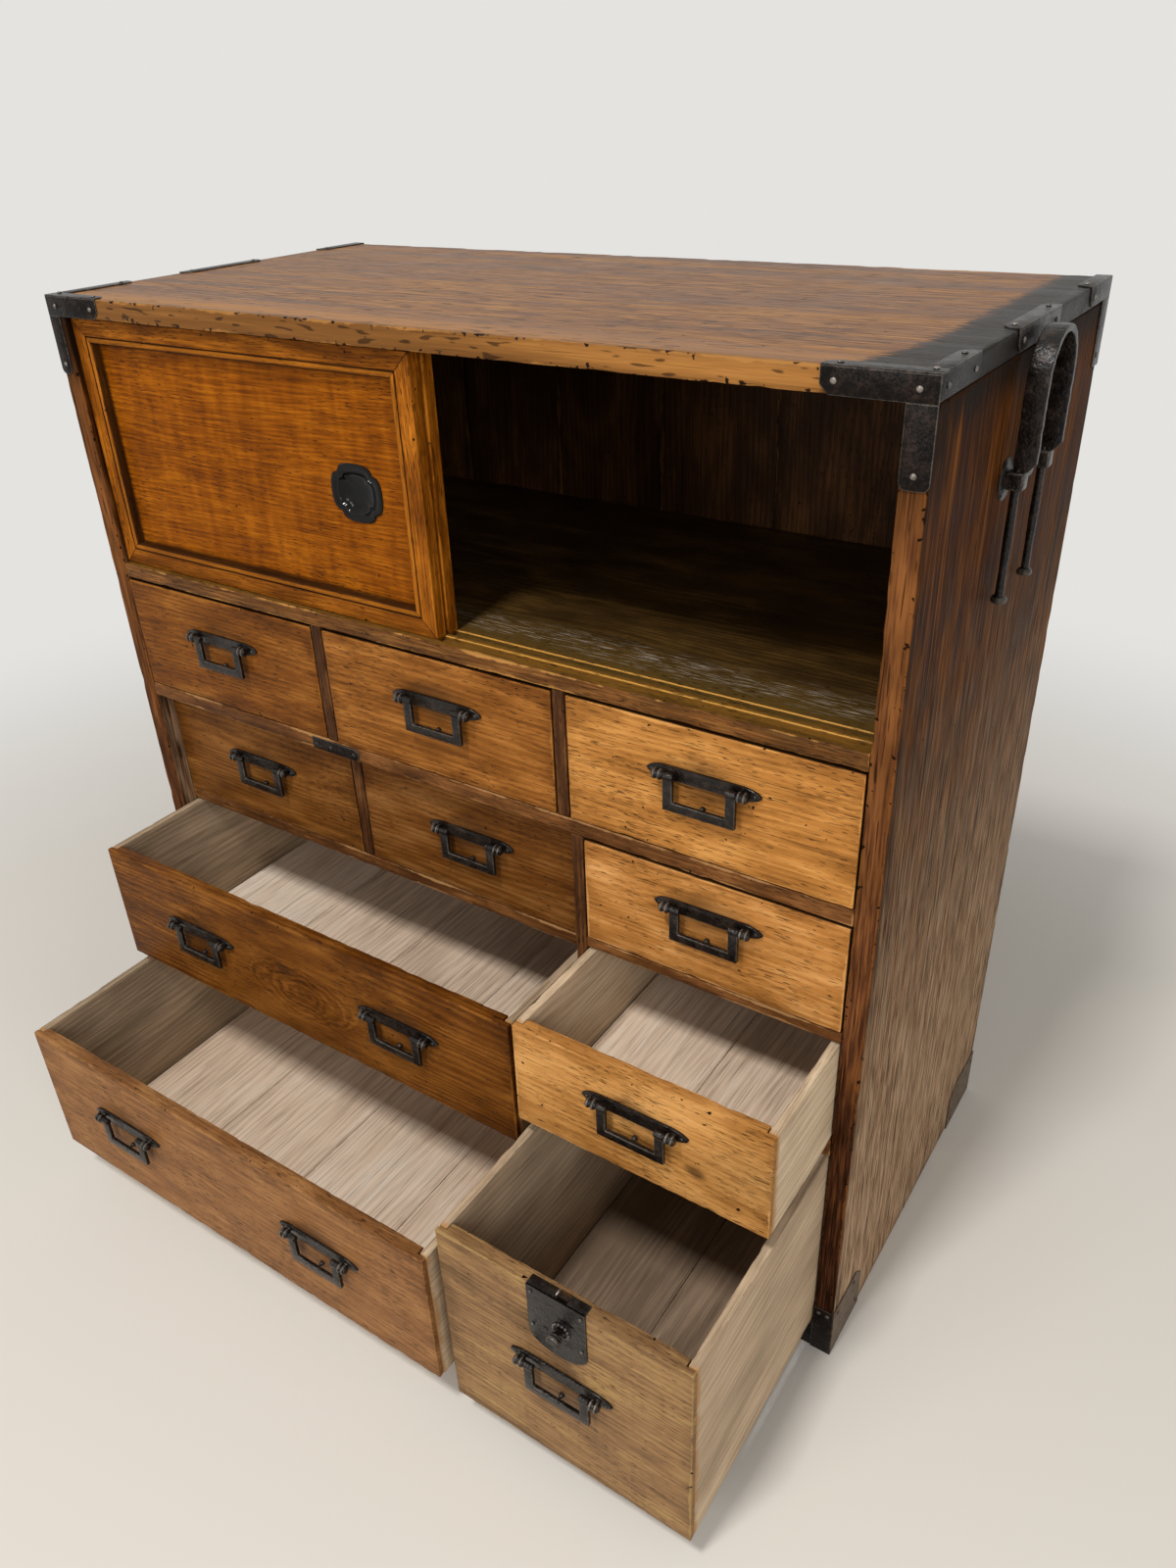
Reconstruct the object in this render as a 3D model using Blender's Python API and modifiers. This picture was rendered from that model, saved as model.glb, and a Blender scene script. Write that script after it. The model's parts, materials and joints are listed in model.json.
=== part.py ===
"""A Japanese merchant chest with drawers, two sliding doors, drop handles, a lock and carrying handles.

Metres, +Z up. X runs across the chest, -Y is the way the drawers open. The origin is the middle of the
underside of the front sill. The chest stands as it is photographed, with four drawers pulled out.
"""

import math
from collections import namedtuple

import bmesh
import bpy
from mathutils import Matrix, Vector

# Carcass
CHEST_WIDTH = 0.830
CHEST_DEPTH = 0.408
CHEST_HEIGHT = 0.903
TOP_THICKNESS = 0.017
TOP_EDGE_WEAR = 0.0012
SIDE_THICKNESS = 0.0185
BACK_THICKNESS = 0.010
BACK_CLEAR_OF_FLOOR = 0.006
BACK_BOARD_WIDTH = 0.1405
BACK_SEAM_WIDTH = 0.002
BACK_SEAM_DEPTH = 0.001
DIVIDER_THICKNESS = 0.0115
SILL_DEPTH = 0.018
BASE_HEIGHT = 0.036
BOTTOM_THICKNESS = 0.018
LEFT_BASE_RISE = 0.014
LEFT_BASE_MARGIN = 0.001
LEFT_BAY_RECESS = 0.017

# Heights of the drawer openings and of the boards between them, from the base upwards
LONG_LOWER_BAY = 0.1635
LEFT_LOWER_RAIL = 0.012
LONG_UPPER_BAY = 0.141
LEFT_UPPER_RAIL = 0.013
DEEP_BAY = 0.2225
RIGHT_LOWER_RAIL = 0.018
SHALLOW_BAY = 0.1105
RIGHT_UPPER_RAIL = 0.010
SECOND_ROW_BAY = 0.1245
ROW_RAIL = 0.0145
TOP_ROW_BAY = 0.119
SHELF_THICKNESS = 0.014

# Widths of the drawer openings, from the left
TOP_ROW_LEFT_BAY = 0.258
TOP_ROW_MIDDLE_BAY = 0.2565
SECOND_ROW_LEFT_BAY = 0.2655
LEFT_BAY = 0.5385

# Fits
JOINT_GAP = 0.0003
DRAWER_SIDE_PLAY = 0.0008
DRAWER_TOP_PLAY = 0.001
PIN_CLEARANCE = 0.0003

# Drawers
FRONT_THICKNESS = 0.013
FRONT_EDGE_WEAR = 0.0012
TRAY_SIDE_THICKNESS = 0.009
TRAY_BOTTOM_THICKNESS = 0.006
TRAY_BELOW_FRONT = 0.001
ROOM_BEHIND_DRAWERS = 0.013
LONG_UPPER_OPEN = 0.121
LONG_LOWER_OPEN = 0.258
SHALLOW_OPEN = 0.117
DEEP_OPEN = 0.235
LONG_HANDLE_SPACING = 0.271

# How far each handle sits above and beside the middle of its drawer
TOP_ROW_HANDLE_RISE = 0.0152
SECOND_ROW_HANDLE_RISE = 0.0085
SECOND_RIGHT_HANDLE_RISE = 0.0172
LONG_UPPER_HANDLE_RISE = 0.0098
LONG_LOWER_HANDLE_RISE = 0.0136
SHALLOW_HANDLE_RISE = 0.0151
DEEP_HANDLE_RISE = 0.0131
MIDDLE_HANDLE_SHIFT = 0.0042

# Drop handles
PLATE_LENGTH = 0.099
PLATE_HEIGHT = 0.012
PLATE_THICKNESS = 0.0022
PLATE_NOSE = 0.017
NOSE_SHARPNESS = 1.4
BAIL_WIDTH = 0.0627
BAIL_DROP = 0.030
BAIL_ARM = 0.009
BAIL_BAR = 0.008
BAIL_THICKNESS = 0.004
BAIL_CORNER = 0.003
BAIL_STANDOFF = 0.0075
KNUCKLE_RADIUS = 0.0031
BAIL_PIN_RADIUS = 0.0016
BAIL_PIN_LENGTH = 0.007
EYE_TUBE_LENGTH = 0.0095
EYE_TUBE_RADIUS = 0.0034
EYE_RING_RADIUS = 0.0045
EYE_RINGS = 3
EYE_POST_WIDTH = 0.006
EYE_POST_HEIGHT = 0.005

# Sliding doors
DOOR_WIDTH = 0.405
DOOR_THICKNESS = 0.012
DOOR_SETBACK = 0.006
DOORS_APART = 0.002
FRONT_DOOR_FROM_SIDE = 0.0005
REAR_DOOR_FROM_SIDE = 0.002
DOOR_BOTTOM_GAP = 0.0006
DOOR_TOP_GAP = 0.0015
TONGUE_SHOULDER = 0.002
TOP_TONGUE = 0.005
TRACK_DEPTH = 0.0035
TOP_TRACK_DEPTH = 0.008
TRACK_PLAY = 0.0005
FRAME_FLAT = 0.015
FRAME_LINE_WIDTH = 0.001
FRAME_LINE_DEPTH = 0.0012
FRAME_BEAD = 0.006
PANEL_RECESS = 0.008

# Finger pulls
PULL_WIDTH = 0.057
PULL_HEIGHT = 0.050
PULL_WAIST = 0.74
PULL_RIM = 0.007
PULL_WALL = 0.0012
PULL_FLANGE = 0.0015
PULL_DEPTH = 0.0065
PULL_FROM_EDGE = 0.079
PULL_BELOW_MIDDLE = 0.004

# Carrying handles
CARRY_SPAN = 0.0667
CARRY_BELOW_TOP = 0.003
CARRY_LOOP_HEIGHT = 0.1005
CARRY_ROD_LENGTH = 0.0865
CARRY_STANDOFF = 0.0085
STRAP_WIDTH = 0.0155
STRAP_END_WIDTH = 0.0105
STRAP_SHOULDER = 0.006
STRAP_THICKNESS = 0.0055
ROD_RADIUS = 0.0033
ROD_IN_STRAP = 0.012
STOP_HEAD_RADIUS = 0.006
STOP_HEAD_END_RADIUS = 0.0036
STOP_HEAD_HEIGHT = 0.006
STOP_HEAD_BEVEL = 0.0022
CARRY_EYE_SIDE = 0.0124
CARRY_EYE_CORNER = 0.002
CARRY_EYE_HEIGHT = 0.013
ROSE_RADIUS = 0.012
ROSE_FLAT_RADIUS = 0.0084
ROSE_THICKNESS = 0.0016
ROSE_EDGE = 0.0006
SHANK_SIDE = 0.006

# Lock of the deep drawer
LOCK_WIDTH = 0.055
LOCK_SIDE = 0.053
LOCK_HEIGHT = 0.0705
LOCK_THICKNESS = 0.0015
LOCK_FOLD = 0.009
SWEEP_FULLNESS = 0.9
BUTTON_OFFSET = 0.0045
BUTTON_BELOW_TOP = 0.0345
BUTTON_LENGTH = 0.0135
BUTTON_RADIUS = 0.0075
BUTTON_TIP_RADIUS = 0.0056
BUTTON_NECK_RADIUS = 0.0052
BUTTON_COLLAR_RADIUS = 0.0066
SHANK_RADIUS = 0.004
BUTTON_TRAVEL = 0.005
BOLT_THROW = 0.0075
LOCK_POCKET_DEPTH = 0.010
LOCK_POCKET_WIDTH = 0.018
LOCK_POCKET_ABOVE = 0.021
LOCK_POCKET_BELOW = 0.012
BOLT_WIDTH = 0.010
BOLT_THICKNESS = 0.004
BOLT_SETBACK = 0.0025
BOLT_FOOT_WIDTH = 0.008
BOLT_FOOT_TOP = 0.012
KEYHOLE_ABOVE_BUTTON = 0.013
KEYHOLE_RADIUS = 0.0018
KEY_SLIT_LENGTH = 0.013
KEY_SLIT_HEIGHT = 0.0012

# How many flat sides stand for each round
PIN_SIDES = 8
TUBE_SIDES = 10
ROD_SIDES = 12
KNOB_SIDES = 16
ROSE_SIDES = 20
CORNER_STEPS = 3
NOSE_STEPS = 5
SWEEP_STEPS = 12
ARCH_STEPS = 16
PULL_POINTS = 36

# Places that follow from the sizes above
HALF_WIDTH = CHEST_WIDTH / 2
INNER_X = HALF_WIDTH - SIDE_THICKNESS
FRONT_Y = -SILL_DEPTH / 2
BACK_Y = FRONT_Y + CHEST_DEPTH
RECESSED_Y = FRONT_Y + LEFT_BAY_RECESS
BACK_FACE_Y = BACK_Y - BACK_THICKNESS
BOARD_END_Y = BACK_FACE_Y - JOINT_GAP
DRAWER_END_Y = BACK_FACE_Y - ROOM_BEHIND_DRAWERS
TOP_UNDERSIDE = CHEST_HEIGHT - TOP_THICKNESS
LEFT_BASE_TOP = BASE_HEIGHT + LEFT_BASE_RISE
LEFT_LOWER_RAIL_UNDERSIDE = LEFT_BASE_TOP + LONG_LOWER_BAY
LEFT_LOWER_RAIL_TOP = LEFT_LOWER_RAIL_UNDERSIDE + LEFT_LOWER_RAIL
LEFT_UPPER_RAIL_UNDERSIDE = LEFT_LOWER_RAIL_TOP + LONG_UPPER_BAY
LEFT_UPPER_RAIL_TOP = LEFT_UPPER_RAIL_UNDERSIDE + LEFT_UPPER_RAIL
RIGHT_LOWER_RAIL_UNDERSIDE = BASE_HEIGHT + DEEP_BAY
RIGHT_LOWER_RAIL_TOP = RIGHT_LOWER_RAIL_UNDERSIDE + RIGHT_LOWER_RAIL
RIGHT_UPPER_RAIL_UNDERSIDE = RIGHT_LOWER_RAIL_TOP + SHALLOW_BAY
RIGHT_UPPER_RAIL_TOP = RIGHT_UPPER_RAIL_UNDERSIDE + RIGHT_UPPER_RAIL
ROW_RAIL_UNDERSIDE = LEFT_UPPER_RAIL_TOP + SECOND_ROW_BAY
ROW_RAIL_TOP = ROW_RAIL_UNDERSIDE + ROW_RAIL
SHELF_UNDERSIDE = ROW_RAIL_TOP + TOP_ROW_BAY
SHELF_TOP = SHELF_UNDERSIDE + SHELF_THICKNESS
TOP_ROW_UPRIGHT_1 = -INNER_X + TOP_ROW_LEFT_BAY
TOP_ROW_UPRIGHT_2 = TOP_ROW_UPRIGHT_1 + DIVIDER_THICKNESS + TOP_ROW_MIDDLE_BAY
SECOND_ROW_UPRIGHT = -INNER_X + SECOND_ROW_LEFT_BAY
TALL_UPRIGHT = -INNER_X + LEFT_BAY
FRONT_DOOR_Y = FRONT_Y + DOOR_SETBACK
REAR_DOOR_Y = FRONT_DOOR_Y + DOOR_THICKNESS + DOORS_APART
TRACK_WIDTH = DOOR_THICKNESS - 2 * TONGUE_SHOULDER + 2 * TRACK_PLAY
PIVOT_Y = -BAIL_STANDOFF
CARRY_MIDDLE_Y = FRONT_Y + CHEST_DEPTH / 2
CARRY_TOP = CHEST_HEIGHT - CARRY_BELOW_TOP
CARRY_EYE_MIDDLE = CARRY_TOP - CARRY_LOOP_HEIGHT
STOP_HEAD_TOP = CARRY_EYE_MIDDLE - CARRY_ROD_LENGTH
WEDGE_SLOPE = BOLT_THROW / BUTTON_TRAVEL
SMOOTH_BELOW = math.radians(35)

Look = namedtuple("Look", "colour roughness metallic")
CARCASS_WOOD = Look((0.150, 0.052, 0.016), 0.42, 0.0)
TOP_WOOD = Look((0.170, 0.062, 0.018), 0.36, 0.0)
INNER_WOOD = Look((0.060, 0.028, 0.012), 0.60, 0.0)
DRAWER_WOOD = Look((0.330, 0.130, 0.030), 0.45, 0.0)
DOOR_WOOD = Look((0.380, 0.130, 0.022), 0.40, 0.0)
FORGED_IRON = Look((0.016, 0.013, 0.011), 0.48, 0.85)
BLACK_IRON = Look((0.008, 0.008, 0.009), 0.25, 0.85)

# One drawer: its opening, where its front stands when shut, how far it is pulled out, and its handles
Drawer = namedtuple("Drawer", "name left right floor roof shut_y open handles handle_rise")
LONG_HANDLES = {"_left": -LONG_HANDLE_SPACING / 2, "_right": LONG_HANDLE_SPACING / 2}
DRAWERS = [
    Drawer("top_left", -INNER_X, TOP_ROW_UPRIGHT_1, ROW_RAIL_TOP, SHELF_UNDERSIDE, FRONT_Y, 0,
           {"": 0}, TOP_ROW_HANDLE_RISE),
    Drawer("top_middle", TOP_ROW_UPRIGHT_1 + DIVIDER_THICKNESS, TOP_ROW_UPRIGHT_2, ROW_RAIL_TOP,
           SHELF_UNDERSIDE, FRONT_Y, 0, {"": MIDDLE_HANDLE_SHIFT}, TOP_ROW_HANDLE_RISE),
    Drawer("top_right", TOP_ROW_UPRIGHT_2 + DIVIDER_THICKNESS, INNER_X, ROW_RAIL_TOP, SHELF_UNDERSIDE,
           FRONT_Y, 0, {"": 0}, TOP_ROW_HANDLE_RISE),
    Drawer("second_left", -INNER_X, SECOND_ROW_UPRIGHT, LEFT_UPPER_RAIL_TOP, ROW_RAIL_UNDERSIDE,
           RECESSED_Y, 0, {"": 0}, SECOND_ROW_HANDLE_RISE),
    Drawer("second_middle", SECOND_ROW_UPRIGHT + DIVIDER_THICKNESS, TALL_UPRIGHT, LEFT_UPPER_RAIL_TOP,
           ROW_RAIL_UNDERSIDE, RECESSED_Y, 0, {"": MIDDLE_HANDLE_SHIFT}, SECOND_ROW_HANDLE_RISE),
    Drawer("second_right", TALL_UPRIGHT + DIVIDER_THICKNESS, INNER_X, RIGHT_UPPER_RAIL_TOP,
           ROW_RAIL_UNDERSIDE, FRONT_Y, 0, {"": 0}, SECOND_RIGHT_HANDLE_RISE),
    Drawer("long_upper", -INNER_X, TALL_UPRIGHT, LEFT_LOWER_RAIL_TOP, LEFT_UPPER_RAIL_UNDERSIDE,
           RECESSED_Y, LONG_UPPER_OPEN, LONG_HANDLES, LONG_UPPER_HANDLE_RISE),
    Drawer("long_lower", -INNER_X, TALL_UPRIGHT, LEFT_BASE_TOP, LEFT_LOWER_RAIL_UNDERSIDE,
           RECESSED_Y, LONG_LOWER_OPEN, LONG_HANDLES, LONG_LOWER_HANDLE_RISE),
    Drawer("shallow", TALL_UPRIGHT + DIVIDER_THICKNESS, INNER_X, RIGHT_LOWER_RAIL_TOP,
           RIGHT_UPPER_RAIL_UNDERSIDE, FRONT_Y, SHALLOW_OPEN, {"": 0}, SHALLOW_HANDLE_RISE),
    Drawer("deep", TALL_UPRIGHT + DIVIDER_THICKNESS, INNER_X, BASE_HEIGHT, RIGHT_LOWER_RAIL_UNDERSIDE,
           FRONT_Y, DEEP_OPEN, {"": 0}, DEEP_HANDLE_RISE),
]

# Planes that an outline can be drawn in, as turns from the outline's axes to the chest's
FACING_UP = Matrix.Identity(3)
FACING_FRONT = Matrix(((1, 0, 0), (0, 0, -1), (0, 1, 0)))
FACING_SIDE = Matrix(((0, 0, 1), (1, 0, 0), (0, 1, 0)))


def new_collection(name):
    collection = bpy.data.collections.new(name)
    bpy.context.scene.collection.children.link(collection)
    return collection


def clear_scene():
    for obj in list(bpy.data.objects):
        bpy.data.objects.remove(obj)


def mesh_from(bm, name):
    """Turns an edited shape's faces outwards and returns it as a mesh."""
    bmesh.ops.recalc_face_normals(bm, faces=bm.faces)
    mesh = bpy.data.meshes.new(name)
    bm.to_mesh(mesh)
    bm.free()
    return mesh


def box_mesh(name, low, high):
    bm = bmesh.new()
    bmesh.ops.create_cube(bm, size=1.0)
    low, high = Vector(low), Vector(high)
    bmesh.ops.scale(bm, vec=high - low, verts=bm.verts)
    bmesh.ops.translate(bm, vec=(low + high) / 2, verts=bm.verts)
    return mesh_from(bm, name)


def cylinder_mesh(name, radius, start, end, segments):
    """A round bar between two points."""
    start, end = Vector(start), Vector(end)
    along = end - start
    bm = bmesh.new()
    bmesh.ops.create_cone(bm, cap_ends=True, segments=segments, radius1=radius, radius2=radius,
                          depth=along.length)
    turn = along.to_track_quat("Z", "Y").to_matrix()
    bmesh.ops.rotate(bm, matrix=turn, verts=bm.verts)
    bmesh.ops.translate(bm, vec=(start + end) / 2, verts=bm.verts)
    return mesh_from(bm, name)


def outline_mesh(name, points, thickness, plane, at=(0, 0, 0)):
    """A closed outline drawn in a plane and thickened to both sides of it."""
    curve = bpy.data.curves.new(name, "CURVE")
    curve.dimensions = "2D"
    curve.fill_mode = "BOTH"
    curve.extrude = thickness / 2
    spline = curve.splines.new("POLY")
    spline.points.add(len(points) - 1)
    for point, (across, up) in zip(spline.points, points):
        point.co = (across, up, 0, 1)
    spline.use_cyclic_u = True
    guide = bpy.data.objects.new(name, curve)
    helpers.objects.link(guide)
    mesh = evaluated_mesh(guide)
    bpy.data.objects.remove(guide)
    bm = bmesh.new()
    bm.from_mesh(mesh)
    bmesh.ops.remove_doubles(bm, verts=bm.verts, dist=1e-6)
    bmesh.ops.transform(bm, matrix=plane.to_4x4(), verts=bm.verts)
    bmesh.ops.translate(bm, vec=at, verts=bm.verts)
    return mesh_from(bm, name)


def turned_mesh(name, profile, axis, at, segments):
    """A turned shape: (radius, height) points from top to bottom, on an axis through a place."""
    bm = bmesh.new()
    verts = [bm.verts.new((radius, 0, height)) for radius, height in profile]
    for upper, lower in zip(verts, verts[1:]):
        bm.edges.new((upper, lower))
    mesh = bpy.data.meshes.new(name)
    bm.to_mesh(mesh)
    bm.free()
    guide = bpy.data.objects.new(name, mesh)
    helpers.objects.link(guide)
    screw = guide.modifiers.new("turn", "SCREW")
    screw.steps = segments
    screw.render_steps = segments
    screw.use_merge_vertices = True
    screw.merge_threshold = 1e-5
    turned = evaluated_mesh(guide)
    bpy.data.objects.remove(guide)
    turned.transform(Vector(axis).to_track_quat("Z", "Y").to_matrix().to_4x4())
    turned.transform(Matrix.Translation(at))
    return turned


def evaluated_mesh(obj):
    """The object's mesh with its modifiers applied."""
    bpy.context.view_layer.update()
    graph = bpy.context.evaluated_depsgraph_get()
    return bpy.data.meshes.new_from_object(obj.evaluated_get(graph))


def helper(mesh, parent=None):
    """An unseen object that cuts or joins others."""
    obj = bpy.data.objects.new(mesh.name + "_helper", mesh)
    helpers.objects.link(obj)
    obj.hide_render = True
    obj.display_type = "WIRE"
    obj.parent = parent
    return obj


def combine(obj, operation, *meshes):
    """Cuts, joins or intersects an object with meshes drawn in the object's own coordinates."""
    for mesh in meshes:
        boolean = obj.modifiers.new(operation.lower(), "BOOLEAN")
        boolean.operation = operation
        boolean.object = helper(mesh, obj)


def combined_mesh(mesh, *steps):
    """One mesh from a first mesh and (operation, mesh) steps."""
    work = helper(mesh)
    for operation, other in steps:
        combine(work, operation, other)
    made = evaluated_mesh(work)
    for child in list(work.children):
        bpy.data.objects.remove(child)
    bpy.data.objects.remove(work)
    return made


def material(name, look):
    made = bpy.data.materials.new(name)
    made.use_nodes = True
    shader = made.node_tree.nodes["Principled BSDF"]
    shader.inputs["Base Color"].default_value = (*look.colour, 1.0)
    shader.inputs["Roughness"].default_value = look.roughness
    shader.inputs["Metallic"].default_value = look.metallic
    made.diffuse_color = (*look.colour, 1.0)
    return made


def piece(name, mesh, look, location=(0, 0, 0), parent=None, turn=0.0):
    """A finished piece of the chest, at its place, with its own material."""
    obj = bpy.data.objects.new(name, mesh)
    chest.objects.link(obj)
    obj.location = location
    obj.rotation_euler.z = turn
    obj.parent = parent
    if not mesh.materials:
        mesh.materials.append(None)
    obj.material_slots[0].link = "OBJECT"
    obj.material_slots[0].material = material(name, look)
    mesh.shade_smooth()
    mesh.set_sharp_from_angle(angle=SMOOTH_BELOW)
    return obj


def board(name, look, low, high):
    """A plain board between two corners, with its origin at its middle."""
    middle = (Vector(low) + Vector(high)) / 2
    mesh = box_mesh(name, Vector(low) - middle, Vector(high) - middle)
    return piece(name, mesh, look, middle)


def bevel_where(mesh, chosen, width):
    """Rounds the edges that a test on an edge's two ends picks out."""
    bm = bmesh.new()
    bm.from_mesh(mesh)
    edges = [edge for edge in bm.edges if chosen(edge.verts[0].co, edge.verts[1].co)]
    bmesh.ops.bevel(bm, geom=edges, offset=width, segments=2, profile=0.5, affect="EDGES")
    bm.to_mesh(mesh)
    bm.free()


def arc(centre, radius, start, end, steps):
    """Points along an arc, angles in degrees."""
    points = []
    for step in range(steps + 1):
        angle = math.radians(start + (end - start) * step / steps)
        points.append((centre[0] + radius * math.cos(angle), centre[1] + radius * math.sin(angle)))
    return points


def make_carcass():
    make_top_board()
    make_sides()
    make_bottom_board()
    make_back_panel()
    make_door_shelf()
    make_row_rail()
    board("second_row_divider", INNER_WOOD,
          (SECOND_ROW_UPRIGHT, RECESSED_Y, LEFT_UPPER_RAIL_TOP + JOINT_GAP),
          (SECOND_ROW_UPRIGHT + DIVIDER_THICKNESS, BOARD_END_Y, ROW_RAIL_UNDERSIDE - JOINT_GAP))
    board("tall_divider", CARCASS_WOOD,
          (TALL_UPRIGHT, FRONT_Y, BASE_HEIGHT + JOINT_GAP),
          (TALL_UPRIGHT + DIVIDER_THICKNESS, BOARD_END_Y, ROW_RAIL_UNDERSIDE - JOINT_GAP))
    for name, underside, top in (
        ("left_lower_rail", LEFT_LOWER_RAIL_UNDERSIDE, LEFT_LOWER_RAIL_TOP),
        ("left_upper_rail", LEFT_UPPER_RAIL_UNDERSIDE, LEFT_UPPER_RAIL_TOP),
    ):
        board(name, CARCASS_WOOD, (-INNER_X + JOINT_GAP, RECESSED_Y, underside),
              (TALL_UPRIGHT - JOINT_GAP, BOARD_END_Y, top))
    right_start = TALL_UPRIGHT + DIVIDER_THICKNESS + JOINT_GAP
    board("right_upper_rail", CARCASS_WOOD, (right_start, FRONT_Y, RIGHT_UPPER_RAIL_UNDERSIDE),
          (INNER_X - JOINT_GAP, BOARD_END_Y, RIGHT_UPPER_RAIL_TOP))
    lower_rail = board("right_lower_rail", CARCASS_WOOD, (right_start, FRONT_Y, RIGHT_LOWER_RAIL_UNDERSIDE),
                       (INNER_X - JOINT_GAP, BOARD_END_Y, RIGHT_LOWER_RAIL_TOP))
    cut_bolt_mortise(lower_rail)


def cut_bolt_mortise(rail):
    """The mortise in the rail over the deep drawer that the lock's bolt rises into."""
    bay_middle = (TALL_UPRIGHT + DIVIDER_THICKNESS + INNER_X) / 2
    bolt_x = bay_middle + BUTTON_OFFSET - rail.location.x
    bolt_y = FRONT_Y + BOLT_SETBACK - rail.location.y
    underside = RIGHT_LOWER_RAIL_UNDERSIDE - rail.location.z
    room = 2 * DRAWER_SIDE_PLAY
    low = (bolt_x - BOLT_WIDTH / 2 - room, bolt_y - room, underside - JOINT_GAP)
    high = (bolt_x + BOLT_WIDTH / 2 + room, bolt_y + BOLT_THICKNESS + room, underside + BOLT_THROW)
    combine(rail, "DIFFERENCE", box_mesh("bolt_mortise", low, high))


def make_top_board():
    """The top, over both sides, with the upper door tracks cut into its underside."""
    middle = Vector((0, (FRONT_Y + BACK_Y) / 2, CHEST_HEIGHT - TOP_THICKNESS / 2))
    half = Vector((HALF_WIDTH, CHEST_DEPTH / 2, TOP_THICKNESS / 2))
    mesh = box_mesh("top_board", -half, half)
    bevel_where(mesh, lambda a, b: a.z > 0 and b.z > 0, TOP_EDGE_WEAR)
    top = piece("top_board", mesh, TOP_WOOD, middle)
    for door_y in (FRONT_DOOR_Y, REAR_DOOR_Y):
        track_y = door_y + TONGUE_SHOULDER - TRACK_PLAY - middle.y
        combine(top, "DIFFERENCE", box_mesh(
            "top_track", (-INNER_X, track_y, -half.z - JOINT_GAP),
            (INNER_X, track_y + TRACK_WIDTH, -half.z + TOP_TRACK_DEPTH)))


def make_sides():
    """Both sides stand on the floor; square holes take the shanks of the carrying handles' eyes."""
    hole = SHANK_SIDE / 2 + PIN_CLEARANCE
    for name, side in (("left_side", -1), ("right_side", 1)):
        outer, inner = side * HALF_WIDTH, side * INNER_X
        made = board(name, CARCASS_WOOD, (min(outer, inner), FRONT_Y, 0),
                     (max(outer, inner), BACK_Y, TOP_UNDERSIDE - JOINT_GAP))
        for eye_y in carry_eye_places():
            middle = Vector((0, eye_y, CARRY_EYE_MIDDLE)) - Vector((0, *made.location.yz))
            half = Vector((SIDE_THICKNESS, hole, hole))
            combine(made, "DIFFERENCE", box_mesh("shank_hole", middle - half, middle + half))


def make_bottom_board():
    """The bottom with its front sill down to the floor, and the raised floor of the recessed left bay."""
    underside = BASE_HEIGHT - BOTTOM_THICKNESS
    profile = [(FRONT_Y, 0), (FRONT_Y + SILL_DEPTH, 0), (FRONT_Y + SILL_DEPTH, underside),
               (BOARD_END_Y, underside), (BOARD_END_Y, BASE_HEIGHT), (FRONT_Y, BASE_HEIGHT)]
    mesh = outline_mesh("bottom_board", profile, 2 * (INNER_X - JOINT_GAP), FACING_SIDE)
    made = piece("bottom_board", mesh, CARCASS_WOOD)
    low = (-INNER_X + LEFT_BASE_MARGIN, RECESSED_Y, BASE_HEIGHT - LEFT_BASE_RISE / 2)
    high = (TALL_UPRIGHT - JOINT_GAP, BOARD_END_Y - LEFT_BASE_MARGIN, LEFT_BASE_TOP)
    combine(made, "UNION", box_mesh("left_base", low, high))


def make_back_panel():
    """Upright boards side by side, with a shallow seam between them on both faces."""
    edge = INNER_X - JOINT_GAP
    seams = []
    seam = -INNER_X + BACK_BOARD_WIDTH
    while seam < edge - BACK_SEAM_WIDTH:
        seams.append(seam)
        seam += BACK_BOARD_WIDTH
    outline = [(-edge, BACK_FACE_Y)]
    for x in seams:
        outline += seam_notch(x, -1, BACK_FACE_Y, BACK_SEAM_DEPTH)
    outline += [(edge, BACK_FACE_Y), (edge, BACK_Y)]
    for x in reversed(seams):
        outline += seam_notch(x, 1, BACK_Y, -BACK_SEAM_DEPTH)
    outline.append((-edge, BACK_Y))
    height = TOP_UNDERSIDE - JOINT_GAP - BACK_CLEAR_OF_FLOOR
    mesh = outline_mesh("back_panel", outline, height, FACING_UP, (0, 0, BACK_CLEAR_OF_FLOOR + height / 2))
    piece("back_panel", mesh, INNER_WOOD)


def seam_notch(x, start, face, depth):
    """Three points of a V between two boards."""
    half = BACK_SEAM_WIDTH / 2
    return [(x + start * half, face), (x, face + depth), (x - start * half, face)]


def make_door_shelf():
    """The shelf under the doors, with the two tracks that they slide in."""
    profile = [(BOARD_END_Y, SHELF_TOP), (BOARD_END_Y, SHELF_UNDERSIDE),
               (FRONT_Y, SHELF_UNDERSIDE), (FRONT_Y, SHELF_TOP)]
    for door_y in (FRONT_DOOR_Y, REAR_DOOR_Y):
        start = door_y + TONGUE_SHOULDER - TRACK_PLAY
        end = start + TRACK_WIDTH
        floor = SHELF_TOP - TRACK_DEPTH
        profile += [(start, SHELF_TOP), (start, floor), (end, floor), (end, SHELF_TOP)]
    mesh = outline_mesh("door_shelf", profile, 2 * (INNER_X - JOINT_GAP), FACING_SIDE)
    piece("door_shelf", mesh, INNER_WOOD)


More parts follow.
